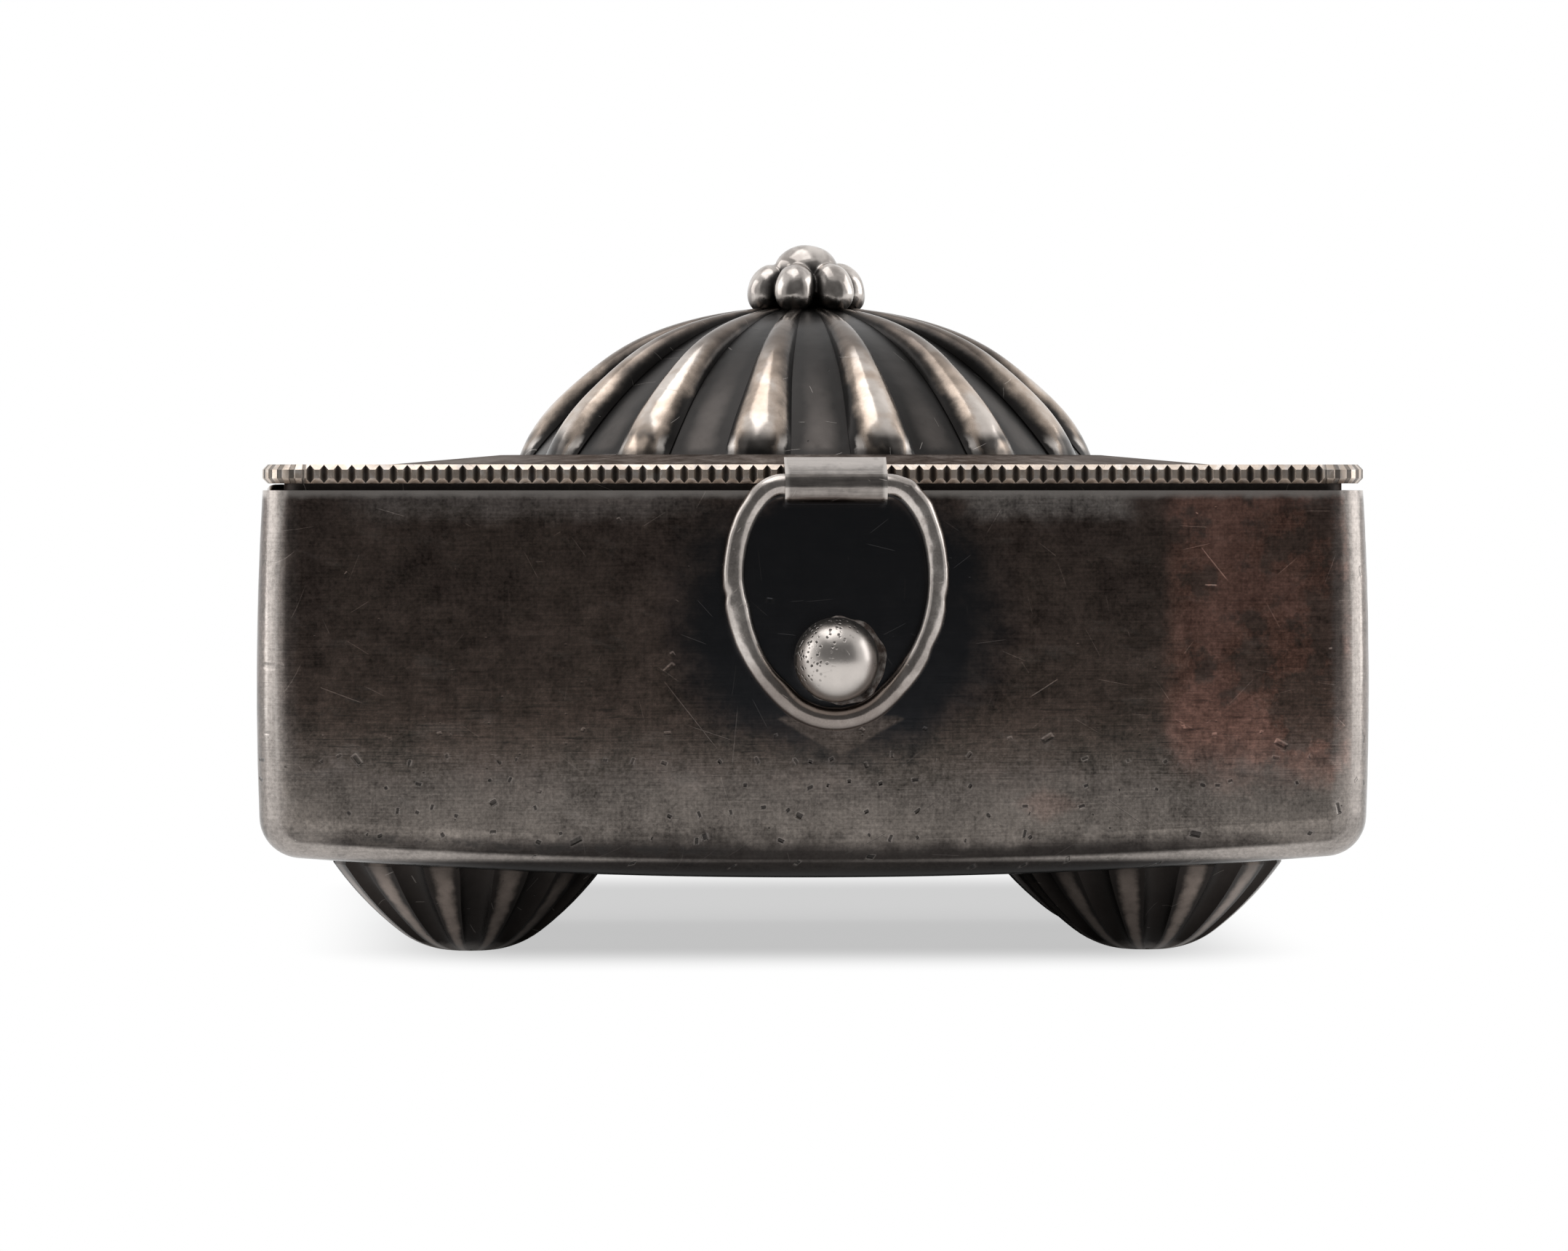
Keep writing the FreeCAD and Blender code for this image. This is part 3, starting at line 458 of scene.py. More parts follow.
@dataclass(frozen=True)
class WallFinish(Finish):
    """Rolled sheet with a brown-black patina: greyer low down, worn bright at the corners, black round
    the clasp, rubbed along the top and with a copper-red blush at the front's right. The bottom edge,
    the dents and the seam carry painted shade, and the dents' rims a painted highlight."""

    rubbed: Colour = (0.168, 0.147, 0.131)
    blush: Colour = (0.34, 0.185, 0.145)
    grime_and_shade: Colour = (0.02, 0.0172, 0.0165)
    soot: Colour = (0.036, 0.038, 0.042)
    lozenge: Colour = (0.19, 0.157, 0.138)
    top: float = 27.2
    seam_low: float = 5.6
    dish_radius: float = 379.9
    seam_x: float = -16.5
    low_zone: Pair = (15.0, 9.0)
    under_zone: Pair = (7.7, 6.3)
    ding_zone: Pair = (14.5, 10.5)
    streak_z: float = 13.5
    blush_left: Pair = (19.8, 21.6)
    blush_foot: Pair = (9.0, 14.0)
    stain_at: Pair = (13.2, 9.0)
    stain_size: Pair = (2.2, 1.3)
    strip_right_x: float = 13.6
    strip_left_x: float = -17.0
    strip_foot: Pair = (25.0, 26.2)
    scorch_at: Pair = (1.2, 19.9)
    scorch_size: Pair = (9.4, 7.7)
    lozenge_at: Pair = (1.4, 14.0)
    lozenge_size: Pair = (3.7, 2.2)
    strokes: tuple[Stroke, ...] = (
        Stroke((-8.9, 16.3), (-5.6, 12.1), 0.03),
        Stroke((-7.4, 13.6), (-4.7, 12.7), 0.025),
        Stroke((-4.5, 14.9), (-4.9, 10.6), 0.03),
        Stroke((-5.6, 10.9), (-4.6, 7.6), 0.025),
        Stroke((12.4, 15.2), (14.1, 16.3), 0.06),
        Stroke((16.8, 9.4), (18.9, 7.9), 0.03),
    )

    def coat(self, paint: Paint, spot: Spot) -> Coat:
        """Layers the patina, the rubbing, the wear and the marks.

        Args:
            paint: the node sheet.
            spot: where the surface is.

        Returns:
            The finished layers.
        """
        cloud = paint.noise(spot.at, 0.16, 4.0, 0.55)
        mottle = paint.noise(spot.at, 0.75, 6.0, 0.62)
        grain = paint.noise(spot.at, 4.5, 4.0, 0.7)
        brush = paint.brushing(spot.at, (3.4, 3.4, 0.11))
        weave = paint.brushing(spot.at, (0.13, 0.13, 3.4))
        ragged = 1.8 * (mottle - 0.5) + 1.8 * (cloud - 0.5)
        front = (-spot.facing_y).smooth(0.55, 0.85)

        tone = 1.0 + 1.2 * (cloud - 0.5) + 1.4 * (mottle - 0.5) + 2.0 * (grain - 0.5)
        tone = (tone + 0.75 * (brush - 0.5) + 0.5 * (weave - 0.5)).most(0.25)
        low = (spot.z + 2.0 * ragged).smooth(*self.low_zone)
        colour = paint.shade(paint.blend(low, self.oxide, self.rubbed), tone)
        red = self.copper(paint, spot, mottle, ragged) * front
        colour = paint.blend(0.8 * red, colour, paint.shade(self.blush, tone))
        strip = self.rubbed_strip(spot, ragged) * front
        colour = paint.blend(0.85 * strip, colour, paint.shade(self.worn, tone))
        colour = paint.blend(0.14 * self.smudges(paint, spot), colour, self.worn)
        colour = paint.blend(0.6 * self.streaks(paint, spot), colour, self.black)
        colour = paint.blend(0.96 * self.scorch(spot, ragged) * front, colour, self.soot)
        tip = self.lozenge_tip(spot, mottle) * front
        colour = paint.blend(0.8 * tip, colour, paint.shade(self.lozenge, tone))
        # Painted shade: the bottom edge and the pan are darkened, partly as dirt and partly as the shade of
        # the floor under the box that they face.
        under = (spot.z + 0.6 * ragged).smooth(*self.under_zone)
        colour = paint.blend(0.9 * under, colour, self.grime_and_shade)

        wear = self.corner_wear(paint, spot, mottle, cloud)
        colour = paint.blend(wear, colour, paint.shade(self.worn, 0.45 + 0.55 * tone))
        colour = paint.blend(0.9 * wear.smooth(0.6, 1.0), colour, self.bright)
        line = (spot.z + 0.5 * (mottle - 0.5)).smooth(self.top - 0.6, self.top - 0.1)
        colour = paint.blend(0.85 * line, colour, self.bright)

        hair = paint.marks(spot, 2.4, 1.5, 0.018, 0.6)
        scratch = paint.marks(spot, 8.0, 3.4, 0.03, 0.2)
        for stroke in self.strokes:
            scratch = scratch.most(stroke.mask(spot) * front)
        colour = paint.blend((0.1 * hair).most(0.13 * scratch), colour, self.worn)
        # Painted shade and highlight: the dents are painted dark as their shade and their rims paler as a
        # highlight; the specks are dark pits.
        dings = self.dings(paint, spot, 1.0)
        ding_rim_highlight = (self.dings(paint, spot, 1.9) - dings).most(0.0)
        colour = paint.blend(0.26 * ding_rim_highlight, colour, self.worn)
        specks = paint.pits(spot.at, 0.9, 0.08, 0.25)
        colour = paint.blend((0.78 * dings).most(0.6 * specks), colour, self.black)
        lint = paint.pits(spot.at, 2.3, 0.06, 0.12)
        colour = paint.blend(0.5 * lint, colour, self.bright)

        # Painted shade: the seam is darkened partly as a joint and partly as the shade along it.
        seam = self.seam(spot, mottle)
        colour = paint.blend(0.7 * seam, colour, self.black)
        inner = self.inside(spot)
        colour = paint.blend(inner, colour, paint.shade(self.worn, 0.35 + 0.5 * tone))

        roughness = 0.21 + 0.12 * (mottle - 0.5) + 0.08 * (brush - 0.5) - 0.05 * wear + 0.12 * inner
        dents = paint.noise(spot.at, 0.2, 2.0, 0.5)
        relief = 0.022 * dents + 0.003 * mottle + 0.002 * brush - 0.004 * hair - 0.01 * scratch
        return Coat(colour, roughness, relief - 0.09 * dings - 0.01 * specks - 0.02 * seam)

    def smudges(self, paint: Paint, spot: Spot) -> Value:
        """Faint paler wipes, drawn out sideways.

        Args:
            paint: the node sheet.
            spot: where the surface is.

        Returns:
            1 in a wipe and 0 outside.
        """
        wipe = paint.noise(paint.drawn_out(spot.at, (3.4, 3.4, 1.3), (0, 12, 0)), 1.0, 4.0, 0.65)
        return wipe.smooth(0.55, 0.72)

    def streaks(self, paint: Paint, spot: Spot) -> Value:
        """Short dark level streaks at half height.

        Args:
            paint: the node sheet.
            spot: where the surface is.

        Returns:
            1 in a streak and 0 outside.
        """
        streak = paint.brushing(spot.at, (2.6, 2.6, 0.24))
        return streak.smooth(0.56, 0.72) * abs(spot.z - self.streak_z).smooth(4.5, 1.5)

    def copper(self, paint: Paint, spot: Spot, mottle: Value, ragged: Value) -> Value:
        """The copper-red blush: a field with a ragged left edge and dark blotches to the right.

        Args:
            paint: the node sheet.
            spot: where the surface is.
            mottle: fine noise.
            ragged: noise in millimetres.

        Returns:
            1 inside the field and 0 outside.
        """
        left = (spot.x + 0.6 * ragged).smooth(*self.blush_left)
        foot = (spot.z + 1.7 * ragged).smooth(*self.blush_foot)
        patches = paint.noise(spot.at, 0.36, 5.0, 0.65)
        lean = 0.016 * (spot.x - 25.0) + 0.003 * (spot.z - 18.0)
        blotch = (patches + lean + 0.3 * (mottle - 0.5)).smooth(0.48, 0.62)
        stain = self.from_lozenge(spot, self.stain_at, self.stain_size) + 0.5 * ragged
        return (left * foot * (1.0 - 0.85 * blotch)).most(0.22 * stain.smooth(1.2, 0.4))

    def from_lozenge(self, spot: Spot, at: Pair, size: Pair) -> Value:
        """How far a point of the front is from the middle of a lozenge.

        Args:
            spot: where the surface is.
            at: the middle, as x and z.
            size: from the middle to the points, along x and z.

        Returns:
            0 in the middle and 1 on the outline.
        """
        return abs(spot.x - at[0]) / size[0] + abs(spot.z - at[1]) / size[1]

    def rubbed_strip(self, spot: Spot, ragged: Value) -> Value:
        """The paler strip along the top edge, strongest right of the clasp.

        Args:
            spot: where the surface is.
            ragged: noise in millimetres.

        Returns:
            1 in the strip and 0 outside.
        """
        right = (abs(spot.x - self.strip_right_x) + ragged).smooth(5.6, 3.8)
        left = (abs(spot.x - self.strip_left_x) + 3.0 * ragged).smooth(11.5, 7.0)
        return (spot.z + 0.8 * ragged).smooth(*self.strip_foot) * right.most(0.5 * left)

    def scorch(self, spot: Spot, ragged: Value) -> Value:
        """The black zone round the clasp, where the ring keeps the sheet from being rubbed.

        Args:
            spot: where the surface is.
            ragged: noise in millimetres.

        Returns:
            1 in the zone and 0 outside.
        """
        along = (spot.x - self.scorch_at[0]) / self.scorch_size[0]
        up = (spot.z - self.scorch_at[1]) / self.scorch_size[1]
        reach = (along * along + up * up) ** 0.5
        return (reach + 0.16 * ragged).smooth(1.2, 0.8)

    def lozenge_tip(self, spot: Spot, mottle: Value) -> Value:
        """The pale pointed mark that shows under the ring.

        Args:
            spot: where the surface is.
            mottle: fine noise.

        Returns:
            1 in the mark and 0 outside.
        """
        away = self.from_lozenge(spot, self.lozenge_at, self.lozenge_size)
        inside = (away + 0.25 * (mottle - 0.5)).smooth(1.05, 0.92)
        return inside * spot.z.smooth(14.3, 13.9)

    def corner_wear(self, paint: Paint, spot: Spot, mottle: Value, cloud: Value) -> Value:
        """Metal rubbed bare along the upright corners and at the lower ones, with a combed edge.

        Args:
            paint: the node sheet.
            spot: where the surface is.
            mottle: fine noise.
            cloud: coarse noise.

        Returns:
            1 on bare metal and 0 on patina.
        """
        comb = paint.brushing(spot.at, (1.6, 1.6, 0.13))
        to_corner = (HALF_WIDTH - abs(spot.x)).most(HALF_DEPTH - abs(spot.y - CENTRE_Y))
        uneven = 0.5 * (comb - 0.5) + 0.8 * (mottle - 0.5) + 0.6 * (cloud - 0.5)
        upright = (to_corner + 0.6 * uneven).smooth(2.6, 0.3) ** 2.0
        haze = (to_corner + uneven).smooth(2.25, 1.75) * (0.12 + 0.26 * spot.x.smooth(-4.0, 4.0))
        toe = (spot.z + 3.0 * (mottle - 0.5)).smooth(9.0, 6.0) * (to_corner + uneven).smooth(5.5, 2.0)
        return upright.most(haze).most(0.25 * toe)

    def dings(self, paint: Paint, spot: Spot, spread: float) -> Value:
        """Short dents, mostly in the lower third.

        Args:
            paint: the node sheet.
            spot: where the surface is.
            spread: 1 for the dents themselves, more for the ground round them.

        Returns:
            1 in a dent and 0 outside.
        """
        low = spot.z.smooth(*self.ding_zone)
        small = paint.marks(spot, 1.5, 0.2 + 0.06 * spread, 0.12 * spread, 0.45) * low
        large = paint.marks(spot, 4.6, 0.36 + 0.08 * spread, 0.2 * spread, 0.5) * (0.2 + 0.8 * low)
        return small.most(large)

    def seam(self, spot: Spot, mottle: Value) -> Value:
        """The broken dark line where the bottom pan is soldered to the walls, dark as a joint and as painted
        shade along it.

        Args:
            spot: where the surface is.
            mottle: fine noise.

        Returns:
            1 in the line and 0 away from it.
        """
        from_y = spot.y - CENTRE_Y
        sag = (spot.x * spot.x + from_y * from_y) / (2 * self.dish_radius)
        off = abs(spot.z - sag - self.seam_low + 1.4 * (mottle - 0.5))
        plain = 0.3 + 0.7 * abs(spot.x - self.seam_x).smooth(13.0, 9.0)
        return off.smooth(0.42, 0.06) * mottle.smooth(0.44, 0.58) * plain

    def inside(self, spot: Spot) -> Value:
        """1 on the inner faces of the box and 0 outside.

        Args:
            spot: where the surface is.

        Returns:
            The mask.
        """
        within_x = abs(spot.x).smooth(HALF_WIDTH - 0.2, HALF_WIDTH - 0.4)
        within_y = abs(spot.y - CENTRE_Y).smooth(HALF_DEPTH - 0.2, HALF_DEPTH - 0.4)
        return within_x * within_y * spot.z.smooth(5.6, 6.0)


@dataclass(frozen=True)
class FootFinish(Finish):
    """Blackened flutes with ridges that are worn to brown-grey metal and painted darker near the top as the
    pan's shade.
    """

    crest: Colour = (0.22, 0.18, 0.156)
    hollow: Colour = (0.027, 0.023, 0.021)
    flutes: int = 12
    turn: float = 3.0
    centre_x: float = 20.0
    centre_y: float = 12.0

    def coat(self, paint: Paint, spot: Spot) -> Coat:
        """Layers wear on the ridges over black flutes.

        Args:
            paint: the node sheet.
            spot: where the surface is.

        Returns:
            The finished layers.
        """
        mottle = paint.noise(spot.at, 1.2, 5.0, 0.62)
        cloud = paint.noise(spot.at, 0.4, 3.0, 0.5)
        from_y = spot.y - CENTRE_Y
        away_x = (abs(spot.x) - self.centre_x) * spot.x.sign()
        away_y = (abs(from_y) - self.centre_y) * from_y.sign()
        angle = away_y.bearing(away_x)
        groove = ((angle - math.radians(self.turn)) * float(self.flutes)).cosine()
        ridge = (0.7 * (mottle - 0.5) - groove).smooth(0.35, 1.05)
        # Painted shade: the ridges darken towards their tops, where the pan shades them.
        ridge = ridge * (0.4 + 0.6 * spot.z.smooth(5.4, 3.6))
        toe = (spot.z + 0.6 * (mottle - 0.5)).smooth(0.7, 0.1)
        tone = 0.55 + 0.5 * mottle + 0.5 * cloud
        colour = paint.blend(ridge, paint.shade(self.hollow, tone), paint.shade(self.crest, tone))
        colour = paint.blend(0.5 * toe, colour, self.worn)
        scratch = paint.marks(spot, 1.6, 0.7, 0.025, 0.5)
        pits = paint.pits(spot.at, 0.9, 0.09, 0.2)
        colour = paint.blend(0.2 * scratch, colour, self.worn)
        colour = paint.blend(0.6 * pits, colour, self.black)
        roughness = 0.42 - 0.1 * ridge + 0.14 * (mottle - 0.5)
        relief = 0.012 * mottle - 0.006 * scratch - 0.02 * pits
        return Coat(colour, roughness, relief)


@dataclass(frozen=True)
class LidFinish(Finish):
    """Satin sheet with a grey patina and dirt where it meets the dome and the rim, and painted shade on the
    faces that do not face up.
    """

    edge_tint: Colour = (0.34, 0.32, 0.31)
    dome_reach: float = 17.4

    def coat(self, paint: Paint, spot: Spot) -> Coat:
        """Layers patina, scratches, dirt and painted shade.

        Args:
            paint: the node sheet.
            spot: where the surface is.

        Returns:
            The finished layers.
        """
        mottle = paint.noise(spot.at, 0.8, 6.0, 0.62)
        cloud = paint.noise(spot.at, 0.15, 4.0, 0.55)
        reach = spot.reach(DOME_X, CENTRE_Y)
        top = spot.facing_z.smooth(0.3, 0.7)
        ragged = 1.2 * (mottle - 0.5) + 1.5 * (cloud - 0.5)
        by_dome = (reach - self.dome_reach + ragged).smooth(2.0, 0.2) * top
        to_edge = (HALF_WIDTH - abs(spot.x)).least(HALF_DEPTH - abs(spot.y - CENTRE_Y))
        by_rim = (to_edge + ragged).smooth(2.2, 1.2) * top
        grain = paint.noise(spot.at, 4.5, 4.0, 0.7)
        brush = paint.brushing(spot.at, (3.4, 0.11, 0.11))
        tone = 0.85 + 0.6 * (cloud - 0.5) + 1.0 * (mottle - 0.5) + 1.4 * (grain - 0.5) + 0.6 * (brush - 0.5)
        rubbed = 0.15 + 0.3 * cloud.smooth(0.25, 0.8) + 0.25 * mottle.smooth(0.4, 0.7)
        colour = paint.shade(paint.blend(rubbed, self.oxide, self.worn), tone.most(0.25))
        colour = paint.blend(0.8 * by_dome.most(0.7 * by_rim), colour, self.black)
        # Painted shade: the plate's edges and underside and the bezel's sides, the faces that do not face up,
        # are painted near black.
        colour = paint.blend(0.85 * (1.0 - top), colour, self.black)
        hair = paint.marks(spot, 3.0, 1.4, 0.02, 0.6)
        scratch = paint.marks(spot, 7.0, 3.0, 0.035, 0.4)
        colour = paint.blend((0.2 * hair).most(0.3 * scratch), colour, self.bright)
        roughness = 0.46 + 0.16 * (mottle - 0.5) + 0.1 * by_dome
        relief = 0.02 * paint.noise(spot.at, 0.3, 2.0, 0.5) + 0.004 * mottle - 0.004 * hair - 0.01 * scratch
        return Coat(colour, roughness, relief)


@dataclass(frozen=True)
class RimFinish(Finish):
    """Rim wire with worn lands and black file cuts."""

    land: Colour = (0.56, 0.475, 0.405)
    corner: float = 2.6
    notch_depth: float = 0.28
    notch_pitch: float = 0.8

    def coat(self, paint: Paint, spot: Spot) -> Coat:
        """Layers worn lands over black cuts.

        Args:
            paint: the node sheet.
            spot: where the surface is.

        Returns:
            The finished layers.
        """
        mottle = paint.noise(spot.at, 2.0, 5.0, 0.62)
        cloud = paint.noise(spot.at, 0.3, 3.0, 0.5)
        in_x = HALF_WIDTH - abs(spot.x)
        in_y = HALF_DEPTH - abs(spot.y - CENTRE_Y)
        long_cut = abs(spot.facing_x).smooth(0.25, 0.5) * in_x.smooth(self.corner - 0.15, self.corner)
        short_cut = abs(spot.facing_y).smooth(0.25, 0.5) * in_y.smooth(self.corner - 0.15, self.corner)
        long_cut = long_cut * in_y.smooth(0.9, 0.7)
        short_cut = short_cut * in_x.smooth(0.9, 0.7)
        deep = (in_x.least(in_y) + 0.15 * (mottle - 0.5)).smooth(0.0, 0.6 * self.notch_depth)
        turned = self.corner_cuts(spot, in_x, in_y)
        cut = (long_cut.most(short_cut) * (0.15 + 0.6 * deep)).most(0.8 * turned)
        tone = 0.6 + 0.5 * cloud + 0.5 * mottle
        land = paint.shade(paint.blend(mottle.smooth(0.45, 0.7), self.land, self.bright), tone)
        brown = (cloud + 0.5 * (mottle - 0.5)).smooth(0.48, 0.66)
        land = paint.blend(0.45 * brown, land, self.oxide)
        colour = paint.blend(cut, land, self.black)
        roughness = 0.3 + 0.2 * cut + 0.16 * (mottle - 0.5)
        scratch = paint.marks(spot, 0.9, 0.4, 0.02, 0.5)
        return Coat(colour, roughness, 0.012 * mottle - 0.005 * scratch - 0.2 * turned)

    def corner_cuts(self, spot: Spot, in_x: Value, in_y: Value) -> Value:
        """The file cuts that go on round the corners.

        Args:
            spot: where the surface is.
            in_x: distance in from the box's ends.
            in_y: distance in from the box's front or back.

        Returns:
            1 in a cut and 0 outside.
        """
        out_x = self.corner - in_x
        out_y = self.corner - in_y
        here = out_x.smooth(0.0, 0.2) * out_y.smooth(0.0, 0.2)
        cuts = 2 * math.pi * self.corner / self.notch_pitch
        cut = (out_y.bearing(out_x) * cuts).cosine().smooth(0.0, 0.55)
        return here * cut * abs(spot.facing_z).smooth(0.9, 0.6)


@dataclass(frozen=True)
class DomeFinish(Finish):
    """Stamped sheet: warm worn ridge crests that darken upwards, black flanks and dirty valleys, with painted
    highlights on the crest centres and at the ridges' lower corners and painted dark reflections at the
    ridges' bases.
    """

    warm: Colour = (0.56, 0.455, 0.375)
    dusk: Colour = (0.118, 0.096, 0.083)
    valley: Colour = (0.082, 0.073, 0.068)
    ridges: int = 14
    turn: float = 0.8
    seat: float = 29.3

    def coat(self, paint: Paint, spot: Spot) -> Coat:
        """Layers worn crests over black flanks and grey valleys, with painted highlights and painted dark
        reflections.

        Args:
            paint: the node sheet.
            spot: where the surface is.

        Returns:
            The finished layers.
        """
        mottle = paint.noise(spot.at, 0.9, 5.0, 0.6)
        cloud = paint.noise(spot.at, 0.28, 3.0, 0.55)
        reach = spot.reach(DOME_X, CENTRE_Y)
        wave = spot.wave(DOME_X, CENTRE_Y, self.turn, self.ridges)
        wave = wave + 0.5 * (mottle - 0.5) + 0.7 * (cloud - 0.5)
        crest = wave.smooth(0.15, 0.95)
        rise = spot.z + 1.6 * (cloud - 0.5) - self.seat
        valley = wave.smooth(-0.45, -1.1) * (0.2 + 0.8 * rise.smooth(6.0, 1.0))
        upper = (reach + 5.0 * (cloud - 0.5)).smooth(14.2, 10.2)
        tone = 0.75 + 0.5 * (cloud - 0.5) + 0.5 * mottle
        # Painted highlight: the crest centres are painted brighter in patches.
        silver = paint.blend(0.8 * wave.smooth(0.65, 1.05) * cloud.smooth(0.4, 0.55), self.warm, self.bright)
        silver = paint.shade(paint.blend(0.9 * upper, silver, self.dusk), tone)
        colour = paint.blend(valley, self.black, paint.shade(self.valley, 0.45 + 1.1 * mottle))
        colour = paint.blend(crest, colour, silver)
        # Painted reflection and shade: each ridge's base is painted black where its rounded end shows a dark
        # reflection, over solder.
        arch_solder_and_shade = rise.smooth(1.9, 0.9) * wave.smooth(0.5, 0.75) * cloud.smooth(0.36, 0.5)
        colour = paint.blend(0.92 * arch_solder_and_shade, colour, self.black)
        # Painted highlight: bright points at the lower corners of each ridge's end.
        tip = (spot.z - self.seat).smooth(1.3, 0.5) * abs(wave - 0.35).smooth(0.25, 0.08)
        colour = paint.blend(0.75 * tip, colour, self.bright)
        foot = (spot.z + 0.5 * (mottle - 0.5)).smooth(self.seat + 0.55, self.seat + 0.05)
        colour = paint.blend(0.75 * foot, colour, self.black)
        hair = paint.marks(spot, 2.0, 0.9, 0.02, 0.5)
        pits = paint.pits(spot.at, 1.3, 0.09, 0.14)
        colour = paint.blend(0.25 * hair, colour, self.bright)
        colour = paint.blend(0.6 * pits, colour, self.black)
        roughness = 0.33 - 0.15 * crest + 0.12 * (mottle - 0.5)
        relief = 0.05 * paint.noise(spot.at, 0.42, 2.0, 0.5) + 0.006 * mottle - 0.006 * hair - 0.02 * pits
        return Coat(colour, roughness, relief)


@dataclass(frozen=True)
class BeadFinish(Finish):
    """Melted shot: bright where it stands out, black in the gaps between beads."""

    beads: int = 6
    turn: float = 0.0
    low: float = 38.2

    def coat(self, paint: Paint, spot: Spot) -> Coat:
        """Layers dirt in the gaps over bright beads.

        Args:
            paint: the node sheet.
            spot: where the surface is.

        Returns:
            The finished layers.
        """
        mottle = paint.noise(spot.at, 0.8, 3.0, 0.5)
        gap = spot.wave(DOME_X, CENTRE_Y, self.turn, self.beads)
        reach = spot.reach(DOME_X, CENTRE_Y)
        between = (gap + 0.5 * (mottle - 0.5)).smooth(-0.45, -0.9)
        below_top = reach.smooth(1.2, 1.9) * spot.z.smooth(self.low + 2.9, self.low + 2.3)
        under = (spot.z + 0.5 * (mottle - 0.5)).smooth(self.low + 0.8, self.low + 0.1)
        dirt = (between * below_top).most(0.85 * under)
        tone = 0.7 + 0.45 * mottle
        silver = paint.shade(paint.blend(mottle.smooth(0.35, 0.65), self.worn, self.bright), tone)
        colour = paint.blend(0.92 * dirt, silver, self.black)
        pits = paint.pits(spot.at, 0.8, 0.06, 0.1)
        colour = paint.blend(0.5 * pits, colour, self.black)
        roughness = 0.2 + 0.2 * dirt + 0.1 * (mottle - 0.5)
        relief = 0.006 * mottle - 0.01 * pits
        return Coat(colour, roughness, relief)


@dataclass(frozen=True)
class BallFinish(Finish):
    """Polished shot with casting pores at its left and top."""

    centre_x: float = 1.1
    centre_z: float = 17.45
    radius: float = 2.45
    foot_y: float = -24.0

    def coat(self, paint: Paint, spot: Spot) -> Coat:
        """Layers pores, flecks and a painted shadow round its foot over polished metal.

        Args:
            paint: the node sheet.
            spot: where the surface is.

        Returns:
            The finished layers.
        """
        mottle = paint.noise(spot.at, 1.6, 5.0, 0.6)
        lean = (0.6 * (spot.z - self.centre_z) - 0.8 * (spot.x - self.centre_x)) / self.radius
        porous = (lean + 0.5 * (mottle - 0.5)).smooth(-0.15, 0.45)
        pores = paint.pits(spot.at, 0.27, 0.115, 0.75) * porous
        flecks = paint.pits(paint.drawn_out(spot.at, (2.4, 1.0, 1.0)), 0.32, 0.04, 0.25)
        hair = paint.marks(spot, 1.0, 0.45, 0.014, 0.6)
        tone = 0.98 + 0.35 * (mottle - 0.5)
        colour = paint.shade(paint.blend(0.3 * mottle, self.bright, self.worn), tone)
        marks = pores.most(0.6 * flecks)
        colour = paint.blend(0.85 * marks, colour, self.black)
        # Painted shadow: a black band round the ball where it meets the wall.
        foot = (spot.y + 0.5 * (mottle - 0.5)).smooth(self.foot_y - 0.3, self.foot_y + 0.3)
        colour = paint.blend(0.85 * foot, colour, self.black)
        roughness = 0.29 + 0.1 * (mottle - 0.5) + 0.2 * marks + 0.06 * hair
        relief = 0.01 * paint.noise(spot.at, 0.6, 2.0, 0.5) - 0.03 * pores - 0.008 * flecks - 0.003 * hair
        return Coat(colour, roughness, relief)


@dataclass(frozen=True)
class ClaspFinish(Finish):
    """Satin strip: brushed, rubbed bright at its cut ends, and bright on the fold as rubbing and a painted
    highlight.
    """

    centre_x: float = 1.1
    half_length: float = 2.95
    fold_top: float = 29.12

    def coat(self, paint: Paint, spot: Spot) -> Coat:
        """Layers brushing, rubbed ends and a partly painted highlight on the fold over satin silver.

        Args:
            paint: the node sheet.
            spot: where the surface is.

        Returns:
            The finished layers.
        """
        mottle = paint.noise(spot.at, 1.3, 5.0, 0.6)
        brush = paint.brushing(spot.at, (3.0, 0.2, 0.2))
        ends = abs(spot.x - self.centre_x).smooth(self.half_length - 0.35, self.half_length - 0.08)
        fold_rub_and_highlight = (spot.z + 0.3 * (mottle - 0.5)).smooth(self.fold_top - 0.75, self.fold_top - 0.35)
        tone = 0.62 + 0.8 * (brush - 0.5) + 0.7 * (mottle - 0.5)
        colour = paint.shade(self.worn, tone)
        hem = (spot.z + 0.2 * (mottle - 0.5)).smooth(self.fold_top - 2.0, self.fold_top - 2.6)
        colour = paint.blend(0.8 * hem, colour, self.oxide)
        # Painted highlight: the fold is bright partly as rubbing and partly as the highlight of its rounded
        # edge.
        colour = paint.blend((0.7 * ends).most(0.5 * fold_rub_and_highlight), colour, self.bright)
        brown = mottle.smooth(0.58, 0.74)
        colour = paint.blend(0.3 * brown, colour, self.oxide)
        hair = paint.marks(spot, 0.9, 0.4, 0.016, 0.6)
        colour = paint.blend(0.3 * hair, colour, self.bright)
        roughness = 0.21 + 0.1 * (mottle - 0.5) + 0.1 * (brush - 0.5)
        relief = 0.008 * mottle + 0.004 * brush - 0.005 * hair + 0.025 * ends
        return Coat(colour, roughness, relief)


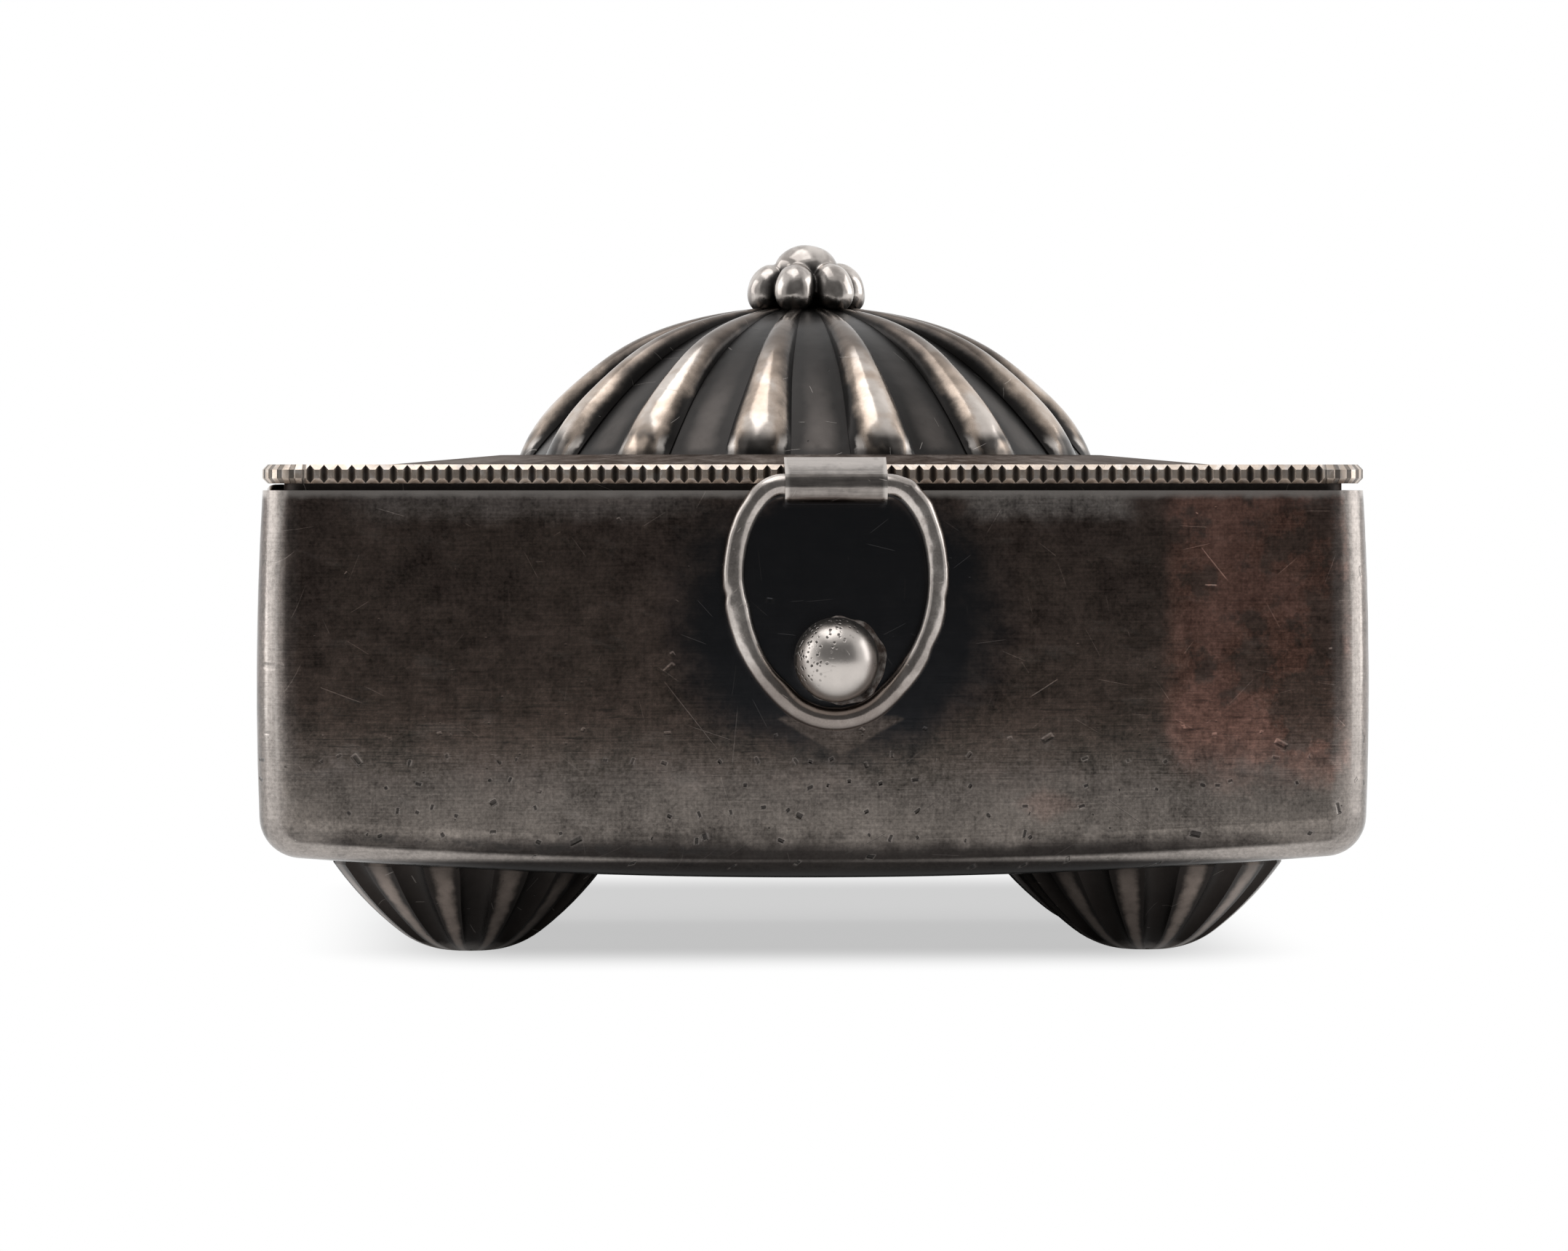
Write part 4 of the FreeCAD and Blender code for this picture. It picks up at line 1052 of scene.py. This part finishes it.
@dataclass(frozen=True)
class WireFinish(Finish):
    """Drawn wire, rubbed satin by handling, with pores and hairlines, and browner low and behind."""

    low_zone: Pair = (19.0, 15.0)

    def coat(self, paint: Paint, spot: Spot) -> Coat:
        """Layers grime and rubbed places over grey silver.

        Args:
            paint: the node sheet.
            spot: where the surface is.

        Returns:
            The finished layers.
        """
        mottle = paint.noise(spot.at, 1.2, 5.0, 0.6)
        cloud = paint.noise(spot.at, 0.35, 3.0, 0.5)
        grain = paint.noise(spot.at, 9.0, 2.0, 0.5)
        tone = 1.04 + 0.8 * (cloud - 0.5) + 0.6 * (mottle - 0.5) + 0.4 * (grain - 0.5)
        colour = paint.shade(paint.blend(cloud.smooth(0.45, 0.7), self.worn, self.bright), tone)
        behind = spot.facing_y.smooth(0.1, 0.8)
        brown = (mottle + 0.5 * (cloud - 0.5)).smooth(0.58, 0.74)
        colour = paint.blend(0.4 * brown.most(behind), colour, self.oxide)
        low = (spot.z + 1.5 * (mottle - 0.5)).smooth(*self.low_zone)
        colour = paint.blend(0.55 * low, colour, self.oxide)
        pits = paint.pits(spot.at, 0.9, 0.06, 0.2)
        colour = paint.blend(0.6 * pits, colour, self.black)
        hair = paint.marks(spot, 1.1, 0.5, 0.018, 0.5)
        colour = paint.blend(0.2 * hair, colour, self.bright)
        roughness = 0.2 + 0.1 * (mottle - 0.5) + 0.1 * (grain - 0.5) + 0.08 * brown
        relief = 0.006 * paint.noise(spot.at, 0.7, 2.0, 0.5) + 0.003 * mottle - 0.012 * pits - 0.005 * hair
        return Coat(colour, roughness, relief)


@dataclass(frozen=True)
class HingeFinish(Finish):
    """Drawn tube: dull silver with dark joints and rubbed tops."""

    axis_y: float = 26.45
    joint_x: float = 6.575

    def coat(self, paint: Paint, spot: Spot) -> Coat:
        """Layers dirt near the joints over dull silver.

        Args:
            paint: the node sheet.
            spot: where the surface is.

        Returns:
            The finished layers.
        """
        mottle = paint.noise(spot.at, 1.3, 5.0, 0.62)
        ringed = paint.brushing(spot.at, (0.22, 3.0, 3.0))
        tone = 0.75 + 0.6 * (mottle - 0.5) + 0.4 * (ringed - 0.5)
        colour = paint.shade(paint.blend(mottle.smooth(0.4, 0.7), self.worn, self.bright), tone)
        near = (spot.y + 0.4 * (mottle - 0.5)).smooth(self.axis_y - 0.4, self.axis_y - 1.1)
        joint = abs(abs(spot.x) - self.joint_x).smooth(0.35, 0.1)
        colour = paint.blend(0.8 * near.most(joint), colour, self.black)
        rubbed = spot.facing_z.smooth(0.5, 0.95)
        colour = paint.blend(0.35 * rubbed, colour, self.bright)
        hair = paint.marks(spot, 1.1, 0.5, 0.018, 0.5)
        colour = paint.blend(0.2 * hair, colour, self.bright)
        roughness = 0.36 + 0.16 * (mottle - 0.5) + 0.15 * near
        return Coat(colour, roughness, 0.01 * mottle + 0.006 * ringed - 0.005 * hair)


@dataclass(frozen=True)
class SolderFinish(Finish):
    """Dull grey solder, lumpy and dirty."""

    def coat(self, paint: Paint, spot: Spot) -> Coat:
        """Layers dirt over dull grey metal.

        Args:
            paint: the node sheet.
            spot: where the surface is.

        Returns:
            The finished layers.
        """
        mottle = paint.noise(spot.at, 1.8, 5.0, 0.62)
        tone = 0.5 + 0.5 * mottle
        colour = paint.shade(paint.blend(mottle.smooth(0.35, 0.65), self.oxide, self.worn), tone)
        pits = paint.pits(spot.at, 0.5, 0.07, 0.25)
        colour = paint.blend(0.7 * pits, colour, self.black)
        return Coat(colour, 0.38 + 0.2 * (mottle - 0.5), 0.02 * mottle - 0.02 * pits)


def add_object(name: str, data: bpy.types.ID) -> bpy.types.Object:
    """Links new data into the scene.

    Args:
        name: the object's name.
        data: a mesh, a light or a camera.

    Returns:
        The new object.
    """
    thing = bpy.data.objects.new(name, data)
    bpy.context.scene.collection.objects.link(thing)
    return thing


def skin_rings(
    name: str, rings: list[list[Place]], closed: bool = False, capped: bool = False
) -> bpy.types.Mesh:
    """Joins rings of points into a skin.

    Args:
        name: the mesh's name.
        rings: the rings in order, in millimetres, each with as many points.
        closed: whether the last ring joins the first.
        capped: whether both ends are closed by a face.

    Returns:
        The mesh, in metres.
    """
    form = bmesh.new()
    rows = [[form.verts.new([length * MM for length in place]) for place in ring] for ring in rings]
    following = rows[1:] + (rows[:1] if closed else [])
    for first, second in zip(rows, following):
        for number in range(len(first)):
            beside = (number + 1) % len(first)
            form.faces.new((first[number], first[beside], second[beside], second[number]))
    if capped:
        form.faces.new(rows[0])
        form.faces.new(rows[-1])
    bmesh.ops.recalc_face_normals(form, faces=form.faces)
    mesh = bpy.data.meshes.new(name)
    form.to_mesh(mesh)
    form.free()
    return mesh


def make_piece(name: str, mesh: bpy.types.Mesh, finish: Finish, body: Body) -> bpy.types.Object:
    """Puts a mesh into the scene as a finished piece.

    Args:
        name: the piece's name.
        mesh: its mesh, in metres.
        finish: what it is coated with.
        body: the body that it rides on.

    Returns:
        The new object.
    """
    piece = add_object(name, mesh)
    mesh.shade_smooth()
    mesh.materials.append(finish.material())
    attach(piece, body.value)
    log.info("%s: %d faces on %s", name, len(mesh.polygons), body.value)
    return piece


def dress(frame: dict[str, dict], finish: Finish, *names: str) -> None:
    """Coats nodes of the frame with a finish.

    Args:
        frame: what the loaded frame holds.
        finish: the finish.
        names: the nodes.
    """
    material = finish.material()
    for name in names:
        mesh = frame["nodes"][name].data
        mesh.materials.clear()
        mesh.materials.append(material)
        log.info("%s: dressed in %s", name, finish.name)


@dataclass
class Box:
    """The box: wall band, bottom pan, feet and catch ball."""

    collar_x: float = 1.5
    collar_z: float = 17.35
    collar_radius: float = 1.7
    collar_reach: float = 0.95
    wall_face: float = -23.23
    collar_points: int = 48
    collar_steps: tuple[Pair, ...] = ((0.0, 0.75), (0.35, 0.4), (0.7, 0.16), (1.0, -0.06))
    lip_x: float = -31.53
    lip_half_width: float = 0.4
    lip_low: float = 27.1
    lip_rise: float = 0.44
    lip_reach: float = 20.6
    lip_steps: int = 60
    lip_around: int = 12

    def build(self, frame: dict[str, dict]) -> None:
        """Dresses the box and adds the ball's solder collar and the raised edge of the left wall.

        Args:
            frame: what the loaded frame holds.
        """
        dress(frame, WallFinish("wall_patina"), "wall_band", "bottom_pan")
        feet = [f"foot_{end}_{side}" for end in ("front", "back") for side in ("left", "right")]
        dress(frame, FootFinish("foot_patina"), *feet)
        dress(frame, BallFinish("ball_polish"), "catch_ball")
        collar = self.solder_collar()
        make_piece("ball_solder", collar, SolderFinish("solder_grey"), Body.BOX)
        make_piece("wall_lip", self.wall_lip(), WallFinish("wall_lip_patina"), Body.BOX)

    def wall_lip(self) -> bpy.types.Mesh:
        """The raised edge on top of the left wall, which closes the gap under the lid.

        Returns:
            Its mesh, in metres: a low round bead that runs out at both ends.
        """
        rings = []
        for step in range(self.lip_steps + 1):
            share = 2.0 * step / self.lip_steps - 1.0
            full = math.sqrt(max(1.0 - share**8, 0.02))
            uneven = 1.0 - 0.08 * abs(noise.noise((0.4 * step, 2.0, 5.0)))
            y = CENTRE_Y + share * self.lip_reach
            ring = []
            for number in range(self.lip_around):
                angle = 2 * math.pi * number / self.lip_around
                x = self.lip_x + self.lip_half_width * full * math.cos(angle)
                z = self.lip_low + self.lip_rise * full * uneven * max(math.sin(angle), -0.2)
                ring.append((x, y, z))
            rings.append(ring)
        return skin_rings("wall_lip", rings, capped=True)

    def solder_collar(self) -> bpy.types.Mesh:
        """A low uneven collar of solder between the ball and the wall.

        Returns:
            Its mesh, in metres.
        """
        rings = []
        for share, stand in self.collar_steps:
            ring = []
            for number in range(self.collar_points):
                angle = 2 * math.pi * number / self.collar_points
                wobble = noise.noise((2.0 * math.cos(angle), 2.0 * math.sin(angle), 4.0))
                reach = self.collar_radius + share * self.collar_reach * (1.0 + 0.4 * wobble)
                x = self.collar_x + reach * math.cos(angle)
                z = self.collar_z + reach * math.sin(angle)
                ring.append((x, self.wall_face - stand, z))
            rings.append(ring)
        return skin_rings("ball_solder", rings)


@dataclass
class Finial:
    """The knob of melted shot on the dome: six side beads that lean on a larger top bead."""

    side_beads: int = 6
    turn: float = 12.0
    ring: float = 2.36
    bead_z: float = 39.35
    bead_size: Size = (1.2, 1.24, 1.56)
    lean: float = 24.0
    top_z: float = 40.5
    top_size: Size = (1.95, 1.9, 1.52)
    core_z: float = 39.3
    core_size: Size = (2.1, 2.1, 1.5)
    voxel: float = 0.075
    smoothing: int = 13

    def build(self) -> None:
        """Makes the knob and puts it in the place of the frame's beads."""
        finish = BeadFinish("bead_silver_melt", beads=self.side_beads, turn=self.turn)
        piece = make_piece("finial", self.melt(self.shot()), finish, Body.LID)
        nodes = [f"finial_side_bead_{number + 1}" for number in range(self.side_beads)]
        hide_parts("finial_top_bead", *nodes)

    def shot(self) -> bpy.types.Mesh:
        """The separate beads, in millimetres, each a little out of true.

        Returns:
            One mesh that holds all of them.
        """
        form = bmesh.new()
        self.add_bead(form, Matrix.Translation((DOME_X, CENTRE_Y, self.top_z)), self.top_size)
        self.add_bead(form, Matrix.Translation((DOME_X, CENTRE_Y, self.core_z)), self.core_size)
        for number in range(self.side_beads):
            angle = math.radians(self.turn) + 2 * math.pi * number / self.side_beads
            uneven = noise.noise((3.7 * number, 1.3, 0.4))
            swing = Matrix.Rotation(angle + 0.06 * uneven, 4, "Z")
            out = Matrix.Translation((self.ring, 0, 0))
            tip = Matrix.Rotation(-math.radians(self.lean * (1 + 0.5 * uneven)), 4, "Y")
            place = Matrix.Translation((DOME_X, CENTRE_Y, self.bead_z + 0.1 * uneven))
            size = [length * (1 + 0.06 * uneven) for length in self.bead_size]
            self.add_bead(form, place @ swing @ out @ tip, size)
        mesh = bpy.data.meshes.new("finial_shot")
        form.to_mesh(mesh)
        form.free()
        return mesh

    def add_bead(self, form: bmesh.types.BMesh, place: Matrix, size: Sequence[float]) -> None:
        """Adds one lumpy bead.

        Args:
            form: the mesh that gets it.
            place: where its middle goes and how it leans.
            size: its half sizes.
        """
        made = bmesh.ops.create_icosphere(form, subdivisions=4, radius=1.0)
        for vert in made["verts"]:
            spot = Vector(vert.co)
            lump = 1.0 + 0.05 * noise.noise(spot * 1.7 + place.translation)
            vert.co = place @ Vector([c * s * lump for c, s in zip(spot, size)])

    def melt(self, shot: bpy.types.Mesh) -> bpy.types.Mesh:
        """Runs the beads together.

        Args:
            shot: the separate beads, in millimetres.

        Returns:
            One skin, in metres.
        """
        rough = add_object("finial_rough", shot)
        skin = rough.modifiers.new("skin", "REMESH")
        skin.mode = "VOXEL"
        skin.voxel_size = self.voxel
        soften = rough.modifiers.new("soften", "SMOOTH")
        soften.factor = 0.5
        soften.iterations = self.smoothing
        bpy.context.view_layer.update()
        ready = rough.evaluated_get(bpy.context.evaluated_depsgraph_get())
        mesh = bpy.data.meshes.new_from_object(ready)
        mesh.name = "finial"
        mesh.transform(Matrix.Scale(MM, 4))
        bpy.data.objects.remove(rough)
        bpy.data.meshes.remove(shot)
        return mesh


@dataclass
class Lid:
    """The lid: plate, bezel, rim wire, dome, clasp knuckle and the finial on top."""

    finial: Finial = field(default_factory=Finial)

    def build(self, frame: dict[str, dict]) -> None:
        """Dresses the lid and builds its finial.

        Args:
            frame: what the loaded frame holds.
        """
        dress(frame, LidFinish("lid_satin"), "lid_plate", "lid_bezel")
        dress(frame, RimFinish("rim_filed"), "lid_rim")
        dress(frame, DomeFinish("dome_ridged"), "lid_dome")
        dress(frame, ClaspFinish("clasp_satin"), "clasp_knuckle")
        self.finial.build()


@dataclass(frozen=True)
class Dint:
    """A lump or a dent on the ring's wire, in the ring's own axes."""

    x: float
    z: float
    outwards: float
    rise: float
    spread: float


@dataclass
class Ring:
    """The clasp's ring: a hand-bent pear of round wire with lumps, dents and a soldered joint."""

    pivot: Place = (1.1, -24.25, 27.5)
    wire: float = 0.67
    half_top: float = 3.0
    half_width: float = 5.93
    length: float = 13.5
    side_start: float = 5.4
    bottom: float = 4.0
    waviness: float = 0.03
    free_across: float = 1.0
    free_down: float = 1.5
    top_steps: int = 20
    bend_steps: int = 30
    flank_steps: int = 40
    stations: int = 320
    around: int = 28
    dints: tuple[Dint, ...] = (
        Dint(-5.3, -7.2, -1.0, 0.20, 1.2),
        Dint(-4.6, -8.6, -1.0, 0.14, 1.0),
        Dint(-5.9, -6.3, 1.0, -0.12, 0.35),
        Dint(5.9, -6.4, 1.0, -0.10, 0.5),
        Dint(5.4, -9.2, 1.0, -0.12, 0.6),
        Dint(4.1, -0.35, 1.0, 0.10, 0.35),
        Dint(5.3, -1.2, 1.0, 0.12, 0.5),
        Dint(-2.9, -11.6, -1.0, 0.10, 0.6),
        Dint(-5.0, -1.2, 1.0, -0.07, 0.6),
    )

    def build(self) -> None:
        """Makes the ring and puts it in the place of the frame's ring."""
        piece = make_piece("ring", self.sweep(), WireFinish("ring_wire_silver"), Body.CLASP)
        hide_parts("clasp_ring")

    def path(self) -> list[Vector]:
        """The wire's centre line in the ring's own plane, evenly stepped.

        Returns:
            Points (x, z) as vectors, once round, with the pivot at the origin.
        """
        corner = self.half_width - self.half_top
        fall = self.length - self.bottom - self.side_start
        flank = (self.half_width**2 + fall**2 - self.bottom**2) / (2 * (self.half_width - self.bottom))
        turn = math.degrees(math.asin(fall / (flank - self.bottom)))
        start = -self.side_start
        low = self.bottom - self.length
        right = [Vector((self.half_top * step / self.top_steps, 0.0)) for step in range(self.top_steps)]
        right += self.arc(self.half_top, start, (corner, self.side_start), 90, 0, self.bend_steps)
        right += self.arc(self.half_width - flank, start, (flank, flank), 0, -turn, self.flank_steps)
        right += self.arc(0.0, low, (self.bottom, self.bottom), -turn, -90, self.bend_steps)
        left = [Vector((-point.x, point.y)) for point in reversed(right[1:-1])]
        return self.even_steps(right + left)

    def arc(self, x: float, z: float, radii: Pair, start: float, end: float, steps: int) -> list[Vector]:
        """Points of an arc of a circle or an ellipse, both ends included.

        Args:
            x: of its centre.
            z: of its centre.
            radii: along x and along z.
            start: first angle in degrees.
            end: last angle in degrees.
            steps: number of steps.

        Returns:
            The points.
        """
        angles = [math.radians(start + (end - start) * step / steps) for step in range(steps + 1)]
        return [Vector((x + radii[0] * math.cos(a), z + radii[1] * math.sin(a))) for a in angles]

    def even_steps(self, points: list[Vector]) -> list[Vector]:
        """The same closed line with points at equal distances.

        Args:
            points: the line's points, the first one not repeated at the end.

        Returns:
            As many points as the ring has stations.
        """
        closed = points + points[:1]
        runs = [0.0]
        for first, second in zip(closed, closed[1:]):
            runs.append(runs[-1] + (second - first).length)
        even, segment = [], 0
        for station in range(self.stations):
            wanted = runs[-1] * station / self.stations
            while runs[segment + 1] < wanted:
                segment += 1
            share = (wanted - runs[segment]) / max(runs[segment + 1] - runs[segment], 1e-9)
            even.append(closed[segment].lerp(closed[segment + 1], share))
        return even

    def thickness(self, centre: Vector, outwards: float, angle: float) -> float:
        """The wire's radius at one place of its skin.

        Args:
            centre: the place along the wire.
            outwards: 1 on the ring's outer side and -1 on its inner side.
            angle: of the place round the wire.

        Returns:
            The radius; inside the knuckle it is the plain wire's.
        """
        beyond = (abs(centre.x) - self.half_top) / self.free_across
        free = min(max(beyond, -centre.y / self.free_down, 0.0), 1.0)
        spot = Vector((centre.x, centre.y, 0.0))
        wave = noise.noise(spot * 0.55) + 0.5 * noise.noise(spot * 1.6 + Vector((0, 0, 2 * math.cos(angle))))
        radius = self.wire * (1.0 + self.waviness * wave)
        for dint in self.dints:
            away = (centre - Vector((dint.x, dint.z))).length / dint.spread
            side = max(0.0, outwards * dint.outwards)
            radius += dint.rise * math.exp(-away * away) * side
        return self.wire + free * (radius - self.wire)

    def sweep(self) -> bpy.types.Mesh:
        """Draws the wire along its line.

        Returns:
            The ring's mesh, in metres.
        """
        line = self.path()
        rings = []
        for station, centre in enumerate(line):
            along = (line[(station + 1) % self.stations] - line[station - 1]).normalized()
            outward = Vector((-along.y, along.x))
            ring = []
            for step in range(self.around):
                angle = 2 * math.pi * step / self.around
                radius = self.thickness(centre, math.cos(angle), angle)
                flat = centre + outward * (radius * math.cos(angle))
                x, z = self.pivot[0] + flat.x, self.pivot[2] + flat.y
                y = self.pivot[1] + radius * math.sin(angle)
                ring.append((x, y, z))
            rings.append(ring)
        return skin_rings("ring", rings, closed=True)


@dataclass
class Hinge:
    """The hinge at the back: three knuckles and a riveted pin."""

    def build(self, frame: dict[str, dict]) -> None:
        """Dresses the hinge.

        Args:
            frame: what the loaded frame holds.
        """
        knuckles = ("hinge_knuckle_left", "hinge_knuckle_right", "hinge_knuckle_lid")
        dress(frame, HingeFinish("hinge_dull"), *knuckles)
        dress(frame, WireFinish("pin_silver_wire"), "hinge_pin")


@dataclass(frozen=True)
class Lamp:
    """A soft rectangular lamp: its place and size in metres and its power in watts."""

    name: str
    at: Place
    size: Pair
    power: float


@dataclass
class Studio:
    """A white table with soft light from both sides and above, and a dim room in front."""

    table_front: float = -0.15
    table_reach: float = 1.6
    reflected_shade_grey: float = 0.3
    bounce_grey: float = 0.8
    shadow_grey: float = 0.09
    shadow_lift: float = 0.54
    shade_half_width: float = 17.0
    shade_front: float = -8.0
    shade_back: float = 62.0
    shade_fade: float = 14.0
    room: float = 0.17
    surround: float = 0.7
    lamp_aim: Place = (0.0, 0.0, 0.02)
    camera_sensor: float = 36.0
    camera_at: Place = (-0.020, -0.523, 0.0278)
    camera_lens: float = 198.7
    camera_turn: float = 2.08
    camera_dip: float = 0.963
    lamps: tuple[Lamp, ...] = (
        Lamp("lamp_left", (-0.68, 0.08, 0.24), (0.42, 0.5), 1.05),
        Lamp("lamp_right", (0.68, 0.10, 0.24), (0.42, 0.5), 1.15),
        Lamp("lamp_above", (-0.14, -0.05, 0.72), (0.55, 0.45), 1.1),
    )

    def build(self) -> None:
        """Sets up the table, the room, the lamps and the camera."""
        bpy.context.scene.view_settings.view_transform = "Standard"
        self.add_table()
        self.light_room()
        for lamp in self.lamps:
            self.add_lamp(lamp)
        self.add_camera()

    def add_table(self) -> None:
        """The table top: white away from the box, and under and behind it an even grey of painted shade with
        a soft cast shadow, darker in reflections.
        """
        corners = (
            (-self.table_reach, self.table_front, 0.0),
            (self.table_reach, self.table_front, 0.0),
            (self.table_reach, self.table_reach, 0.0),
            (-self.table_reach, self.table_reach, 0.0),
        )
        mesh = bpy.data.meshes.new("table")
        mesh.from_pydata(corners, [], [(0, 1, 2, 3)])
        table = add_object("table", mesh)
        material = bpy.data.materials.new("table_white")
        material.use_nodes = True
        paint = Paint(material.node_tree)
        ray = paint.node("ShaderNodeLightPath", output="Is Camera Ray")
        seen = ray.most(ray.out("Is Glossy Ray")).most(ray.out("Is Transmission Ray"))
        matte, shaded, plain = (
            paint.node("ShaderNodeBsdfDiffuse", {}, {"Color": (grey, grey, grey, 1.0)})
            for grey in (self.reflected_shade_grey, self.shadow_grey, self.bounce_grey)
        )
        lift, white = (
            paint.node("ShaderNodeEmission", {}, {"Color": (1, 1, 1, 1), "Strength": strength})
            for strength in (self.shadow_lift, 1.0)
        )
        # Painted shade: near the box the table is set grey in its material, lifted by emission for the camera
        # and a darker matte grey in reflections; the cast shadow only deepens it.
        lifted = paint.node("ShaderNodeAddShader", {}, {0: shaded, 1: lift})
        spot = paint.spot()
        beside = (abs(spot.x) - self.shade_half_width).most(0.0)
        before = 0.5 * (self.shade_front - spot.y).most(0.0)
        behind = 0.4 * (spot.y - self.shade_back).most(0.0)
        away = (beside * beside + before * before + behind * behind) ** 0.5
        near = paint.shader_mix(ray, matte, lifted)
        shown = paint.shader_mix(away.smooth(0.0, self.shade_fade), near, white)
        paint.node("ShaderNodeOutputMaterial", {}, {"Surface": paint.shader_mix(seen, plain, shown)})
        mesh.materials.append(material)
        log.info("table: stage")

    def light_room(self) -> None:
        """The world: white behind, soft at the sides, dim in front where the camera stands."""
        world = bpy.data.worlds.new("studio")
        bpy.context.scene.world = world
        world.use_nodes = True
        paint = Paint(world.node_tree)
        way = paint.node("ShaderNodeTexCoord", output="Generated")
        facing = paint.node("ShaderNodeSeparateXYZ", inputs={0: way})
        x, y, z = facing, facing.out("Y"), facing.out("Z")
        level = (x * x + y * y + 0.0001) ** 0.5
        ahead = (-y / level).smooth(0.45, 0.66) * z.smooth(0.86, 0.7)
        dim, soft, white = (
            paint.node("ShaderNodeBackground", {}, {"Color": (1, 1, 1, 1), "Strength": strength})
            for strength in (self.room, self.surround, 1.0)
        )
        around = paint.shader_mix(ahead, paint.shader_mix(y.smooth(-0.1, 0.5), soft, white), dim)
        ray = paint.node("ShaderNodeLightPath", output="Is Camera Ray")
        straight = ray.most(ray.out("Is Transmission Ray"))
        paint.node("ShaderNodeOutputWorld", {}, {"Surface": paint.shader_mix(straight, around, white)})

    def add_lamp(self, lamp: Lamp) -> None:
        """Hangs a lamp that points at the box.

        Args:
            lamp: which one.
        """
        data = bpy.data.lights.new(lamp.name, "AREA")
        data.shape = "RECTANGLE"
        data.size, data.size_y = lamp.size
        data.energy = lamp.power
        hung = add_object(lamp.name, data)
        hung.location = lamp.at
        aim = Vector(self.lamp_aim) - Vector(lamp.at)
        hung.rotation_euler = aim.to_track_quat("-Z", "Y").to_euler()

    def add_camera(self) -> None:
        """The camera at the photograph's place."""
        data = bpy.data.cameras.new("camera")
        data.sensor_fit = "HORIZONTAL"
        data.sensor_width = self.camera_sensor
        data.lens = self.camera_lens
        data.clip_start = 0.01
        camera = add_object("camera", data)
        camera.location = self.camera_at
        camera.rotation_euler = (
            math.radians(90.0 - self.camera_dip),
            0.0,
            math.radians(-self.camera_turn),
        )
        bpy.context.scene.camera = camera


def main() -> None:
    """Builds the pieces in order."""
    logging.basicConfig(level=logging.INFO, format="%(name)s %(message)s")
    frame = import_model()
    Studio().build()
    Box().build(frame)
    Lid().build(frame)
    Ring().build()
    Hinge().build(frame)


if __name__ == "__main__":
    main()
